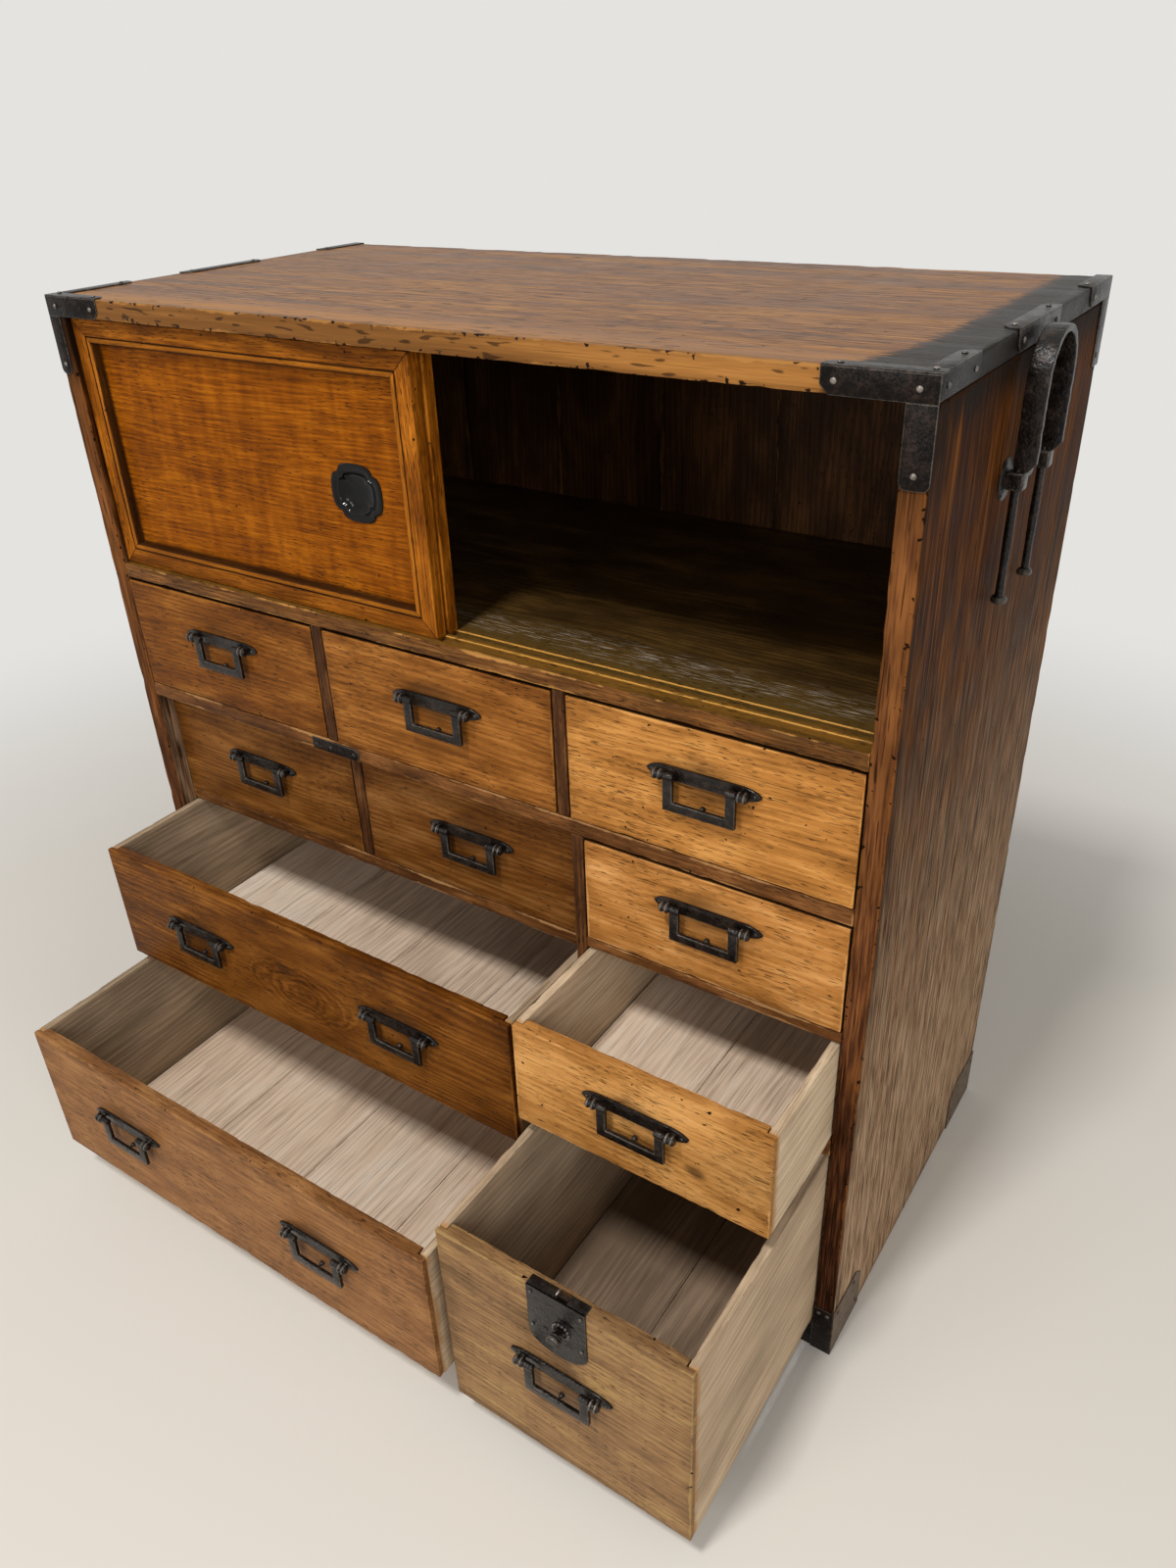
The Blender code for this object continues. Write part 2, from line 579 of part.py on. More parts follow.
def make_row_rail():
    """The board between the first two rows, with the two uprights of the first row glued into it."""
    edge = INNER_X - JOINT_GAP
    head = SHELF_UNDERSIDE - JOINT_GAP
    outline = [(edge, ROW_RAIL_TOP), (edge, ROW_RAIL_UNDERSIDE), (-edge, ROW_RAIL_UNDERSIDE),
               (-edge, ROW_RAIL_TOP)]
    for left in (TOP_ROW_UPRIGHT_1, TOP_ROW_UPRIGHT_2):
        right = left + DIVIDER_THICKNESS
        outline += [(left, ROW_RAIL_TOP), (left, head), (right, head), (right, ROW_RAIL_TOP)]
    depth = BOARD_END_Y - FRONT_Y
    mesh = outline_mesh("row_rail", outline, depth, FACING_FRONT, (0, FRONT_Y + depth / 2, 0))
    piece("row_rail", mesh, CARCASS_WOOD)


def make_drawers():
    plate = handle_plate_mesh()
    bail = bail_mesh()
    for drawer in DRAWERS:
        made = make_drawer(drawer)
        height = drawer_height(drawer)
        for suffix, shift in drawer.handles.items():
            handle_z = height / 2 + drawer.handle_rise
            label = drawer.name + suffix
            piece("plate_" + label, plate, FORGED_IRON, (shift, 0, handle_z), made)
            piece("bail_" + label, bail, FORGED_IRON, (shift, PIVOT_Y, handle_z), made)
        if drawer.name == "deep":
            make_lock(made, height)


def drawer_height(drawer):
    return drawer.roof - DRAWER_TOP_PLAY - drawer.floor - JOINT_GAP


def make_drawer(drawer):
    """Front and tray of one drawer. Its origin is the middle of the front's lower edge."""
    half = (drawer.right - drawer.left) / 2 - DRAWER_SIDE_PLAY
    height = drawer_height(drawer)
    depth = DRAWER_END_Y - drawer.shut_y
    name = "drawer_" + drawer.name
    mesh = box_mesh(name, (-half, 0, 0), (half, depth, height))
    bevel_where(mesh, lambda a, b: max(a.y, b.y) < FRONT_EDGE_WEAR, FRONT_EDGE_WEAR)
    place = ((drawer.left + drawer.right) / 2, drawer.shut_y - drawer.open, drawer.floor + JOINT_GAP)
    made = piece(name, mesh, DRAWER_WOOD, place)
    above = height + TRAY_SIDE_THICKNESS
    wall = TRAY_SIDE_THICKNESS
    cavity = box_mesh("cavity", (-half + wall, FRONT_THICKNESS, TRAY_BOTTOM_THICKNESS),
                      (half - wall, depth - wall, above))
    lowered = box_mesh("tray_top", (-half - wall, FRONT_THICKNESS, height - TRAY_BELOW_FRONT),
                       (half + wall, depth + wall, above))
    combine(made, "DIFFERENCE", cavity, lowered)
    if drawer.name == "deep":
        combine(made, "DIFFERENCE", *lock_pockets(height))
    return made


def handle_plate_mesh():
    """A plate with pointed ends and two ringed eyes for the bail's pins. Its back is the XZ plane."""
    straight = PLATE_LENGTH / 2 - PLATE_NOSE
    half = PLATE_HEIGHT / 2
    nose = [(straight + PLATE_NOSE * math.sin(angle), half * math.cos(angle) ** NOSE_SHARPNESS)
            for angle in [math.pi / 2 * step / NOSE_STEPS for step in range(NOSE_STEPS)]]
    tip = [(straight + PLATE_NOSE, 0)]
    right_end = nose + tip + [(x, -z) for x, z in reversed(nose)]
    outline = right_end + [(-x, -z) for x, z in right_end]
    back = -JOINT_GAP
    plate = outline_mesh("handle_plate", outline, PLATE_THICKNESS, FACING_FRONT,
                         (0, back - PLATE_THICKNESS / 2, 0))
    steps = []
    tube_start = BAIL_WIDTH / 2 + PIN_CLEARANCE
    for side in (-1, 1):
        post_middle = side * (tube_start + EYE_TUBE_LENGTH / 2)
        post = box_mesh("eye_post", (post_middle - EYE_POST_WIDTH / 2, PIVOT_Y, -EYE_POST_HEIGHT / 2),
                        (post_middle + EYE_POST_WIDTH / 2, back - PLATE_THICKNESS / 2, EYE_POST_HEIGHT / 2))
        tube = turned_mesh("eye_tube", ringed_profile(), (side, 0, 0), (side * tube_start, PIVOT_Y, 0),
                           TUBE_SIDES)
        bore_end = tube_start + BAIL_PIN_LENGTH + PIN_CLEARANCE
        bore = cylinder_mesh("eye_bore", BAIL_PIN_RADIUS + PIN_CLEARANCE,
                             (side * (tube_start - PIN_CLEARANCE), PIVOT_Y, 0),
                             (side * bore_end, PIVOT_Y, 0), PIN_SIDES)
        steps += [("UNION", post), ("UNION", tube), ("DIFFERENCE", bore)]
    return combined_mesh(plate, *steps)


def ringed_profile():
    """An eye tube with turned rings, as (radius, height) from its far end down to height 0."""
    pitch = EYE_TUBE_LENGTH / EYE_RINGS
    profile = [(0, EYE_TUBE_LENGTH)]
    for ring in reversed(range(EYE_RINGS)):
        base = ring * pitch
        profile += [(EYE_TUBE_RADIUS, base + pitch), (EYE_RING_RADIUS, base + pitch / 2)]
    return profile + [(EYE_TUBE_RADIUS, 0), (0, 0)]


def bail_mesh():
    """A square bail with knuckles and pins. Its origin is on the pivot, and it hangs straight down."""
    half = BAIL_WIDTH / 2
    inner = half - BAIL_ARM
    corner = half - BAIL_CORNER
    low = -BAIL_DROP + BAIL_CORNER
    bar_top = -BAIL_DROP + BAIL_BAR
    outline = [(-half, 0)]
    outline += arc((-corner, low), BAIL_CORNER, 180, 270, CORNER_STEPS)
    outline += arc((corner, low), BAIL_CORNER, 270, 360, CORNER_STEPS)
    outline += [(half, 0), (inner, 0), (inner, bar_top), (-inner, bar_top), (-inner, 0)]
    bail = outline_mesh("bail", outline, BAIL_THICKNESS, FACING_FRONT)
    steps = []
    for side in (-1, 1):
        knuckle = cylinder_mesh("knuckle", KNUCKLE_RADIUS, (side * inner, 0, 0), (side * half, 0, 0),
                                PIN_SIDES)
        pin = cylinder_mesh("bail_pin", BAIL_PIN_RADIUS, (side * (half - BAIL_ARM / 2), 0, 0),
                            (side * (half + BAIL_PIN_LENGTH), 0, 0), PIN_SIDES)
        steps += [("UNION", knuckle), ("UNION", pin)]
    return combined_mesh(bail, *steps)


def lock_pockets(height):
    """Cuts in the deep drawer's front: the lock's pocket, the bolt's slot and the seat of the fold."""
    button_z = height - BUTTON_BELOW_TOP
    half = LOCK_POCKET_WIDTH / 2
    pocket = box_mesh("lock_pocket", (BUTTON_OFFSET - half, -JOINT_GAP, button_z - LOCK_POCKET_BELOW),
                      (BUTTON_OFFSET + half, LOCK_POCKET_DEPTH, button_z + LOCK_POCKET_ABOVE))
    slot = bolt_slot_mesh(button_z, height + LOCK_THICKNESS)
    seat_half = LOCK_WIDTH / 2 + JOINT_GAP
    seat = box_mesh("fold_seat", (-seat_half, -LOCK_THICKNESS, height - LOCK_THICKNESS - JOINT_GAP),
                    (seat_half, LOCK_FOLD + JOINT_GAP, height + LOCK_THICKNESS))
    return pocket, slot, seat


def bolt_slot_mesh(bottom, top):
    """The upright slot that the bolt slides in, with its clearance."""
    half = BOLT_WIDTH / 2 + PIN_CLEARANCE
    return box_mesh("bolt_slot", (BUTTON_OFFSET - half, BOLT_SETBACK - PIN_CLEARANCE, bottom),
                    (BUTTON_OFFSET + half, BOLT_SETBACK + BOLT_THICKNESS + PIN_CLEARANCE, top))


def make_lock(drawer, height):
    """Folded plate, button and bolt. The button's slanted end, pushed in, lifts the bolt's foot."""
    button_z = height - BUTTON_BELOW_TOP
    piece("lock_plate", lock_plate_mesh(height, button_z), FORGED_IRON, parent=drawer)
    piece("lock_button", lock_button_mesh(), BLACK_IRON, (BUTTON_OFFSET, 0, button_z), drawer)
    piece("lock_bolt", lock_bolt_mesh(), FORGED_IRON, (BUTTON_OFFSET, 0, button_z), drawer)


def lock_plate_mesh(height, button_z):
    half = LOCK_WIDTH / 2
    front_y = -JOINT_GAP - LOCK_THICKNESS / 2
    corner_z = height - LOCK_SIDE
    sweep = LOCK_HEIGHT - LOCK_SIDE
    bottom = [(-half * math.cos(angle), corner_z - sweep * math.sin(angle) ** SWEEP_FULLNESS)
              for angle in [math.pi * step / SWEEP_STEPS for step in range(1, SWEEP_STEPS)]]
    outline = [(half, corner_z), (half, height), (-half, height), (-half, corner_z)] + bottom
    face = outline_mesh("lock_plate", outline, LOCK_THICKNESS, FACING_FRONT, (0, front_y, 0))
    fold = box_mesh("lock_fold", (-half, front_y, height - LOCK_THICKNESS), (half, LOCK_FOLD, height))
    hole = cylinder_mesh("button_hole", SHANK_RADIUS + PIN_CLEARANCE, (BUTTON_OFFSET, -LOCK_FOLD, button_z),
                         (BUTTON_OFFSET, LOCK_FOLD, button_z), KNOB_SIDES)
    key_z = button_z + KEYHOLE_ABOVE_BUTTON
    keyhole = cylinder_mesh("keyhole", KEYHOLE_RADIUS, (BUTTON_OFFSET, -LOCK_FOLD, key_z),
                            (BUTTON_OFFSET, LOCK_FOLD, key_z), TUBE_SIDES)
    slit = box_mesh("key_slit", (BUTTON_OFFSET, -LOCK_FOLD, key_z - KEY_SLIT_HEIGHT / 2),
                    (BUTTON_OFFSET + KEY_SLIT_LENGTH, LOCK_FOLD, key_z + KEY_SLIT_HEIGHT / 2))
    slot = bolt_slot_mesh(height - 2 * LOCK_THICKNESS, height + LOCK_THICKNESS)
    return combined_mesh(face, ("UNION", fold), ("DIFFERENCE", hole), ("DIFFERENCE", keyhole),
                         ("DIFFERENCE", slit), ("DIFFERENCE", slot))


def lock_button_mesh():
    """A ringed button on a shank with a slanted end. Its origin is on its axis, at the drawer's front."""
    plate_face = JOINT_GAP + LOCK_THICKNESS
    shoulder = plate_face + BUTTON_TRAVEL + JOINT_GAP
    end = plate_face + BUTTON_LENGTH
    radii = (BUTTON_TIP_RADIUS, BUTTON_RADIUS, BUTTON_RADIUS, BUTTON_NECK_RADIUS, BUTTON_COLLAR_RADIUS,
             BUTTON_COLLAR_RADIUS, SHANK_RADIUS)
    ring_step = (end - shoulder) / (len(radii) - 1)
    profile = [(0, end)]
    profile += [(radius, end - index * ring_step) for index, radius in enumerate(radii)]
    profile += [(SHANK_RADIUS, -LOCK_POCKET_DEPTH), (0, -LOCK_POCKET_DEPTH)]
    barrel = turned_mesh("lock_button", profile, (0, -1, 0), (0, 0, 0), KNOB_SIDES)
    return combined_mesh(barrel, ("DIFFERENCE", wedge_side_mesh("button_slant", 0.0)))


def wedge_side_mesh(name, lift):
    """All above the slanted plane between button and foot, lifted by a gap measured across the plane."""
    tip_y = LOCK_POCKET_DEPTH - BUTTON_TRAVEL - JOINT_GAP
    tip_z = -SHANK_RADIUS + lift * math.hypot(1, WEDGE_SLOPE)
    reach = LOCK_POCKET_DEPTH
    outline = [(tip_y + reach, tip_z - WEDGE_SLOPE * reach), (tip_y + reach, tip_z + WEDGE_SLOPE * reach),
               (tip_y - reach, tip_z + WEDGE_SLOPE * reach)]
    return outline_mesh(name, outline, 4 * SHANK_RADIUS, FACING_SIDE)


def lock_bolt_mesh():
    """The bolt's bar and its foot, whose slanted underside rides on the button's slanted end."""
    bar = box_mesh("lock_bolt", (-BOLT_WIDTH / 2, BOLT_SETBACK, SHANK_RADIUS),
                   (BOLT_WIDTH / 2, BOLT_SETBACK + BOLT_THICKNESS, BUTTON_BELOW_TOP - JOINT_GAP))
    foot = box_mesh("bolt_foot", (-BOLT_FOOT_WIDTH / 2, JOINT_GAP, -LOCK_POCKET_BELOW + JOINT_GAP),
                    (BOLT_FOOT_WIDTH / 2, LOCK_POCKET_DEPTH - JOINT_GAP, BOLT_FOOT_TOP))
    slanted = combined_mesh(foot, ("INTERSECT", wedge_side_mesh("foot_slant", JOINT_GAP)))
    return combined_mesh(bar, ("UNION", slanted))


def make_doors():
    pull = finger_pull_mesh()
    for name, from_side, front_y, toward in (
        ("front_door", FRONT_DOOR_FROM_SIDE, FRONT_DOOR_Y, 1),
        ("rear_door", REAR_DOOR_FROM_SIDE, REAR_DOOR_Y, -1),
    ):
        low = SHELF_TOP + DOOR_BOTTOM_GAP
        height = TOP_UNDERSIDE - DOOR_TOP_GAP - low
        place = (-INNER_X + from_side + DOOR_WIDTH / 2, front_y, low)
        door = piece(name, door_mesh(name, height), DOOR_WOOD, place)
        pull_x = toward * (DOOR_WIDTH / 2 - PULL_FROM_EDGE)
        pull_place = (pull_x, PANEL_RECESS, height / 2 - PULL_BELOW_MIDDLE)
        hole_outline = lobed_outline(PULL_RIM - PULL_WALL - PIN_CLEARANCE)
        hole = outline_mesh("pull_hole", hole_outline, 2 * DOOR_THICKNESS, FACING_FRONT, pull_place)
        combine(door, "DIFFERENCE", hole)
        piece(name + "_pull", pull, BLACK_IRON, pull_place, door)


def door_mesh(name, height):
    """A moulded frame round a sunk panel, with tongues above and below for the tracks."""
    half = DOOR_WIDTH / 2
    bm = bmesh.new()
    bm.from_mesh(box_mesh(name, (-half, 0, 0), (half, DOOR_THICKNESS, height)))
    track_floor_gap = TRACK_DEPTH + DOOR_BOTTOM_GAP - JOINT_GAP
    for up, length in ((1, TOP_TONGUE), (-1, track_floor_gap)):
        face = face_towards(bm, Vector((0, 0, up)))
        inset(bm, face, TONGUE_SHOULDER, 0)
        move_in(bm, face, -length)
    face = face_towards(bm, Vector((0, -1, 0)))
    inset(bm, face, FRAME_FLAT, 0)
    inset(bm, face, FRAME_LINE_WIDTH, FRAME_LINE_DEPTH)
    inset(bm, face, FRAME_BEAD, PANEL_RECESS - FRAME_LINE_DEPTH)
    return mesh_from(bm, name)


def face_towards(bm, direction):
    """The face that lies furthest along a direction and faces it."""
    facing = [face for face in bm.faces if face.normal.dot(direction) > 0.99]
    return max(facing, key=lambda face: face.calc_center_median().dot(direction))


def inset(bm, face, width, depth):
    """Draws a face in from its edges by a width, and sinks it by a depth."""
    bmesh.ops.inset_region(bm, faces=[face], thickness=width, depth=-depth, use_even_offset=True)


def move_in(bm, face, depth):
    """Pushes a face in, or pulls it out where the depth is negative, with new walls behind it."""
    normal = face.normal.copy()
    made = bmesh.ops.extrude_discrete_faces(bm, faces=[face])["faces"][0]
    bmesh.ops.translate(bm, vec=-depth * normal, verts=made.verts)


def lobed_outline(drawn_in):
    """Four shallow lobes that meet in notches: the larger of a wide and a tall rounded form."""
    wide = PULL_WIDTH / 2 - drawn_in
    tall = PULL_HEIGHT / 2 - drawn_in
    points = []
    for step in range(PULL_POINTS):
        angle = 2 * math.pi * step / PULL_POINTS
        across, up = abs(math.cos(angle)), abs(math.sin(angle))
        lying = math.pow((across / wide) ** 3 + (up / (PULL_WAIST * tall)) ** 3, -1 / 3)
        standing = math.pow((across / (PULL_WAIST * wide)) ** 3 + (up / tall) ** 3, -1 / 3)
        reach = max(lying, standing)
        points.append((reach * math.cos(angle), reach * math.sin(angle)))
    return points


def finger_pull_mesh():
    """A lobed cup with a flat rim. Its origin lies on the panel's face."""
    front = -JOINT_GAP - PULL_FLANGE
    rim = outline_mesh("finger_pull", lobed_outline(0), PULL_FLANGE, FACING_FRONT,
                       (0, front + PULL_FLANGE / 2, 0))
    cup_back = front + PULL_DEPTH
    cup_start = front + PULL_FLANGE / 2
    cup = outline_mesh("pull_cup", lobed_outline(PULL_RIM - PULL_WALL), cup_back - cup_start, FACING_FRONT,
                       (0, (cup_start + cup_back) / 2, 0))
    hollow = outline_mesh("pull_hollow", lobed_outline(PULL_RIM), 2 * (PULL_DEPTH - PULL_WALL), FACING_FRONT,
                          (0, front, 0))
    return combined_mesh(rim, ("UNION", cup), ("DIFFERENCE", hollow))


def carry_eye_places():
    """How far back the two eyes of a carrying handle stand."""
    return CARRY_MIDDLE_Y - CARRY_SPAN / 2, CARRY_MIDDLE_Y + CARRY_SPAN / 2


def make_carrying_handles():
    handle = carrying_handle_mesh()
    eye = carry_eye_mesh()
    for name, side, turn in (("right", 1, 0.0), ("left", -1, math.pi)):
        wall = side * HALF_WIDTH
        piece("carrying_handle_" + name, handle, FORGED_IRON, (wall, CARRY_MIDDLE_Y, 0), turn=turn)
        for where, eye_y in zip(("front", "back"), carry_eye_places()):
            piece("carry_eye_%s_%s" % (name, where), eye, FORGED_IRON, (wall, eye_y, CARRY_EYE_MIDDLE),
                  turn=turn)


def carrying_handle_mesh():
    """A forged strap in an arch, shouldered down to rods with stop heads. It rests on its eyes."""
    shoulder = CARRY_EYE_MIDDLE + CARRY_EYE_HEIGHT / 2 + JOINT_GAP
    half_span = CARRY_SPAN / 2
    outer = half_span + STRAP_THICKNESS / 2
    inner = half_span - STRAP_THICKNESS / 2
    spring = CARRY_TOP - outer
    arch = [(-outer, shoulder)] + arc((0, spring), outer, 180, 0, ARCH_STEPS) + [(outer, shoulder)]
    arch += [(inner, shoulder)] + arc((0, spring), inner, 0, 180, ARCH_STEPS) + [(-inner, shoulder)]
    wall_side = CARRY_STANDOFF - ROD_RADIUS
    strap = outline_mesh("carrying_handle", arch, 2 * STRAP_WIDTH, FACING_SIDE,
                         (wall_side + STRAP_WIDTH, 0, 0))
    taper = [(wall_side, shoulder - STRAP_WIDTH), (wall_side + STRAP_END_WIDTH, shoulder - STRAP_WIDTH),
             (wall_side + STRAP_END_WIDTH, shoulder), (wall_side + STRAP_WIDTH, shoulder + STRAP_SHOULDER),
             (wall_side + STRAP_WIDTH, CARRY_TOP + STRAP_WIDTH), (wall_side, CARRY_TOP + STRAP_WIDTH)]
    steps = [("INTERSECT", outline_mesh("strap_taper", taper, 4 * outer, FACING_FRONT))]
    head_low = STOP_HEAD_TOP - STOP_HEAD_HEIGHT
    head = [(0, STOP_HEAD_TOP), (STOP_HEAD_END_RADIUS, STOP_HEAD_TOP),
            (STOP_HEAD_RADIUS, STOP_HEAD_TOP - STOP_HEAD_BEVEL),
            (STOP_HEAD_RADIUS, head_low + STOP_HEAD_BEVEL), (STOP_HEAD_END_RADIUS, head_low), (0, head_low)]
    for y in (-half_span, half_span):
        rod = cylinder_mesh("rod", ROD_RADIUS, (CARRY_STANDOFF, y, STOP_HEAD_TOP - STOP_HEAD_HEIGHT / 2),
                            (CARRY_STANDOFF, y, shoulder + ROD_IN_STRAP), ROD_SIDES)
        stop = turned_mesh("stop_head", head, (0, 0, 1), (CARRY_STANDOFF, y, 0), ROD_SIDES)
        steps += [("UNION", rod), ("UNION", stop)]
    return combined_mesh(strap, *steps)


def carry_eye_mesh():
    """A squared eye on a domed rose, with a square shank through the side board."""
    half = CARRY_EYE_HEIGHT / 2
    wide = CARRY_EYE_SIDE / 2
    collar = box_mesh("carry_eye", (CARRY_STANDOFF - wide, -wide, -half), (CARRY_STANDOFF + wide, wide, half))
    bevel_where(collar, lambda start, end: abs(start.z - end.z) > half, CARRY_EYE_CORNER)
    rose_profile = [(0, ROSE_THICKNESS), (ROSE_FLAT_RADIUS, ROSE_THICKNESS), (ROSE_RADIUS, ROSE_EDGE),
                    (ROSE_RADIUS, 0), (0, 0)]
    rose = turned_mesh("rose", rose_profile, (1, 0, 0), (JOINT_GAP, 0, 0), ROSE_SIDES)
    neck = SHANK_SIDE / 2
    shank = box_mesh("shank", (-SIDE_THICKNESS + JOINT_GAP, -neck, -neck), (CARRY_STANDOFF, neck, neck))
    bore = cylinder_mesh("rod_bore", ROD_RADIUS + PIN_CLEARANCE, (CARRY_STANDOFF, 0, -2 * half),
                         (CARRY_STANDOFF, 0, 2 * half), ROD_SIDES)
    return combined_mesh(collar, ("UNION", rose), ("UNION", shank), ("DIFFERENCE", bore))


clear_scene()
chest = new_collection("merchant_chest")
helpers = new_collection("cutters_and_guides")
make_carcass()
make_drawers()
make_doors()
make_carrying_handles()
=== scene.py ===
"""Looks of the merchant chest: lacquered wood, bare drawer trays and forged iron fittings.

Lengths are in metres, +Z is up and the chest's front faces -Y. Boards and fittings take their
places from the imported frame; the sizes named here are those of trim, mouldings and wear.
"""

import json
import math

import bmesh
import bpy
from mathutils import Matrix, Vector, noise

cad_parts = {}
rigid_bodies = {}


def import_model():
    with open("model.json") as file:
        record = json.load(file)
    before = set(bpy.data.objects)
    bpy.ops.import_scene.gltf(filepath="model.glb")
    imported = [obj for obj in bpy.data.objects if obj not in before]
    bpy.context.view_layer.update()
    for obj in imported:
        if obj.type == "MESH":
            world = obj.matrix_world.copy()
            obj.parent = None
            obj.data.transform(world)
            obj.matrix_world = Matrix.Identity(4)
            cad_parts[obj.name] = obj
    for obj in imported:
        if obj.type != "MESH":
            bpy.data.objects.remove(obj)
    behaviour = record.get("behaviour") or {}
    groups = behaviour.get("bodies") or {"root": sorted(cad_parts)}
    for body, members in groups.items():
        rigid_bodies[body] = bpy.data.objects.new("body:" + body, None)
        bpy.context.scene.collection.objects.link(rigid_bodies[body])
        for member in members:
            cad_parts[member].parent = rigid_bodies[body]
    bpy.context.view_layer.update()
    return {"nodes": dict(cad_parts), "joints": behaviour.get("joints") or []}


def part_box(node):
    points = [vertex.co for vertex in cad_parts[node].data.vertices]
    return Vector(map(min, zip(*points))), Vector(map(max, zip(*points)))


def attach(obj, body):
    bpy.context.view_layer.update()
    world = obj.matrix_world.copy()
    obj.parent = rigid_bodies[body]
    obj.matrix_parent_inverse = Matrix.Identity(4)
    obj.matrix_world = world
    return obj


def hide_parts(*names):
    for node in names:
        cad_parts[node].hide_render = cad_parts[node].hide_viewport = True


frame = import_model()
bpy.ops.object.select_all(action="DESELECT")

# Wear on the boards' edges
ARRIS = 0.0009
CHIP_DEPTH = 0.0011
CHIP_LENGTH = 0.015
CHIP_GRAIN = 0.004
CHIP_RARITY = 0.12
CHIP_GRIT = 0.18
EDGE_STEP = 0.006
EDGE_MARGIN = 0.004
TOUCH = 0.00001
SQUARE_ON = 0.97
SHIFT_BY_LOW = 17.3
SHIFT_BY_HIGH = 9.1

# Boards whose thickness the frame's boxes don't give
ROW_RAIL_THICKNESS = 0.0145
DRAWER_SIDE_PLAY = 0.0008
JOINT_GAP = 0.0003
SILL_THICKNESS = 0.018
BASE_TOP = 0.036
BASE_BOARD = 0.012
BACK_BOARDS = 6

# Drawers
FRONT_THICKNESS = 0.013
FRONT_PLAY = 0.0008
FRONT_DROP = 0.0012
FRONT_LIP = 0.005
TRAY_WALL = 0.009
TRAY_FLOOR = 0.006
TRAY_BELOW_FRONT = 0.0004
TRAY_CHIPS = 0.0012
PLANK_WIDTH = 0.118
PLANK_SEAM = 0.0005
PLANK_CHIPS = 0.0006
THIN_ARRIS = 0.0004
LAP_SEAM = 0.0011

# Sliding doors
DOOR_TOP_TONGUE = 0.005
DOOR_BOTTOM_TONGUE = 0.0038
DOOR_TONGUE_SHOULDER = 0.002
DOOR_TONGUE_INSET = 0.0013
DOOR_TONGUE_ROOT = 0.001
DOOR_TONGUE_CHIPS = 0.0005
DOOR_FRAME_STEPS = (
    (0.0150, 0.0), (0.0004, -0.0011), (0.0005, 0.0), (0.0004, 0.0009), (0.0008, 0.0005),
    (0.0016, 0.0002), (0.0014, -0.0004), (0.0010, -0.0010), (0.0004, -0.0016), (0.0002, -0.0055))
DOOR_FRAME_WIDTH = sum(width for width, rise in DOOR_FRAME_STEPS)
TRACK_DEPTH = 0.0035
TOP_TRACK_DEPTH = 0.008
TRACK_INSET = 0.0015
TRACK_END_GAP = 0.001
TRACK_ARRIS = 0.0009
PULL_POINTS = 72
PULL_NOTCH = 0.10
PULL_NOTCH_TURN = 0.13
PULL_SQUARENESS = 2.5
PULL_HOLE = 0.86
PULL_CUT = 0.02
PULL_STATIONS = (
    (0.80, 0.0), (0.80, 0.0047), (1.00, 0.0047), (1.00, 0.0056), (0.965, 0.0064), (0.90, 0.0065),
    (0.80, 0.0059), (0.765, 0.0056), (0.75, 0.0060), (0.72, 0.0061), (0.70, 0.0055), (0.64, 0.0034),
    (0.52, 0.0020), (0.30, 0.0014), (0.05, 0.0012))

# Drawer handles, about the axis that the bail swings on
HANDLE_STANDOFF = 0.0075
PLATE_BACK = 0.0003
PLATE_LENGTH = 0.099
PLATE_HEIGHT = 0.012
PLATE_THICKNESS = 0.0022
PLATE_EDGE = 0.0005
PLATE_NOSE = 0.017
NOSE_POWER = 1.25
BAIL_WIDTH = 0.0627
BAIL_DROP = 0.030
BAIL_ARM = 0.0085
BAIL_BAR = 0.0078
BAIL_THICKNESS = 0.004
BAIL_EDGE = 0.0007
KNUCKLE_RADIUS = 0.0031
KNUCKLE_EDGE = 0.0006
KNUCKLE_PROUD = 0.0004
PIN_RADIUS = 0.0016
PIN_LENGTH = 0.006
SPOOL_LENGTH = 0.0095
SPOOL_RADIUS = 0.0034
SPOOL_RING = 0.0045
SPOOL_RINGS = 2
SPOOL_PROFILE = (
    (SPOOL_RADIUS, 0.10), (SPOOL_RING, 0.35), (SPOOL_RING, 0.65), (SPOOL_RADIUS, 0.90))
SPOOL_GAP = 0.0003
SPOOL_POST = 0.003
POST_FOOT = 0.002
POST_LENGTH = 0.006
SUNK = 0.0002
STRIKE_NAIL_BELOW = 0.0250
STRIKE_NAIL_RADIUS = 0.0024
STRIKE_NAIL_HEIGHT = 0.0045
TIP_NAIL_IN = 0.0055
TIP_NAIL_RADIUS = 0.0016
TIP_NAIL_HEIGHT = 0.0011

# Iron trim
IRON = 0.0012
IRON_EDGE = 0.0004
IRON_CLIP = 0.006
LEG_CLIP = 0.005
FOOT_CLIP = 0.014
STRAP_CLIP = 0.004
FLANGE = 0.012
SIDE_LEG = 0.015
FRONT_LEG_LENGTH = {-1: 0.070, 1: 0.073}
DOWN_LEG_WIDTH = {-1: 0.013, 1: 0.0185}
DOWN_LEG_REACH = 0.068
SIDE_LEG_LENGTH = {-1: 0.090, 1: 0.072}
STRAP_START = 0.144
STRAP_END = 0.246
BACK_IRON_START = 0.336
FOOT_HEIGHT = 0.060
FOOT_OFF_FLOOR = 0.0005
FOOT_LENGTH = 0.068
BACK_FOOT_LENGTH = 0.077
SILL_IRON_LENGTH = 0.066
SILL_IRON_INSET = 0.002
JUNCTION_STRAP = (-0.160, -0.100)
JUNCTION_INSETS = (0.0006, 0.0016)
NAIL_RADIUS = 0.0021
NAIL_HEIGHT = 0.0013
NAIL_DOME = ((1.0, 0.25), (0.82, 0.65), (0.5, 0.92), (0.15, 1.0))

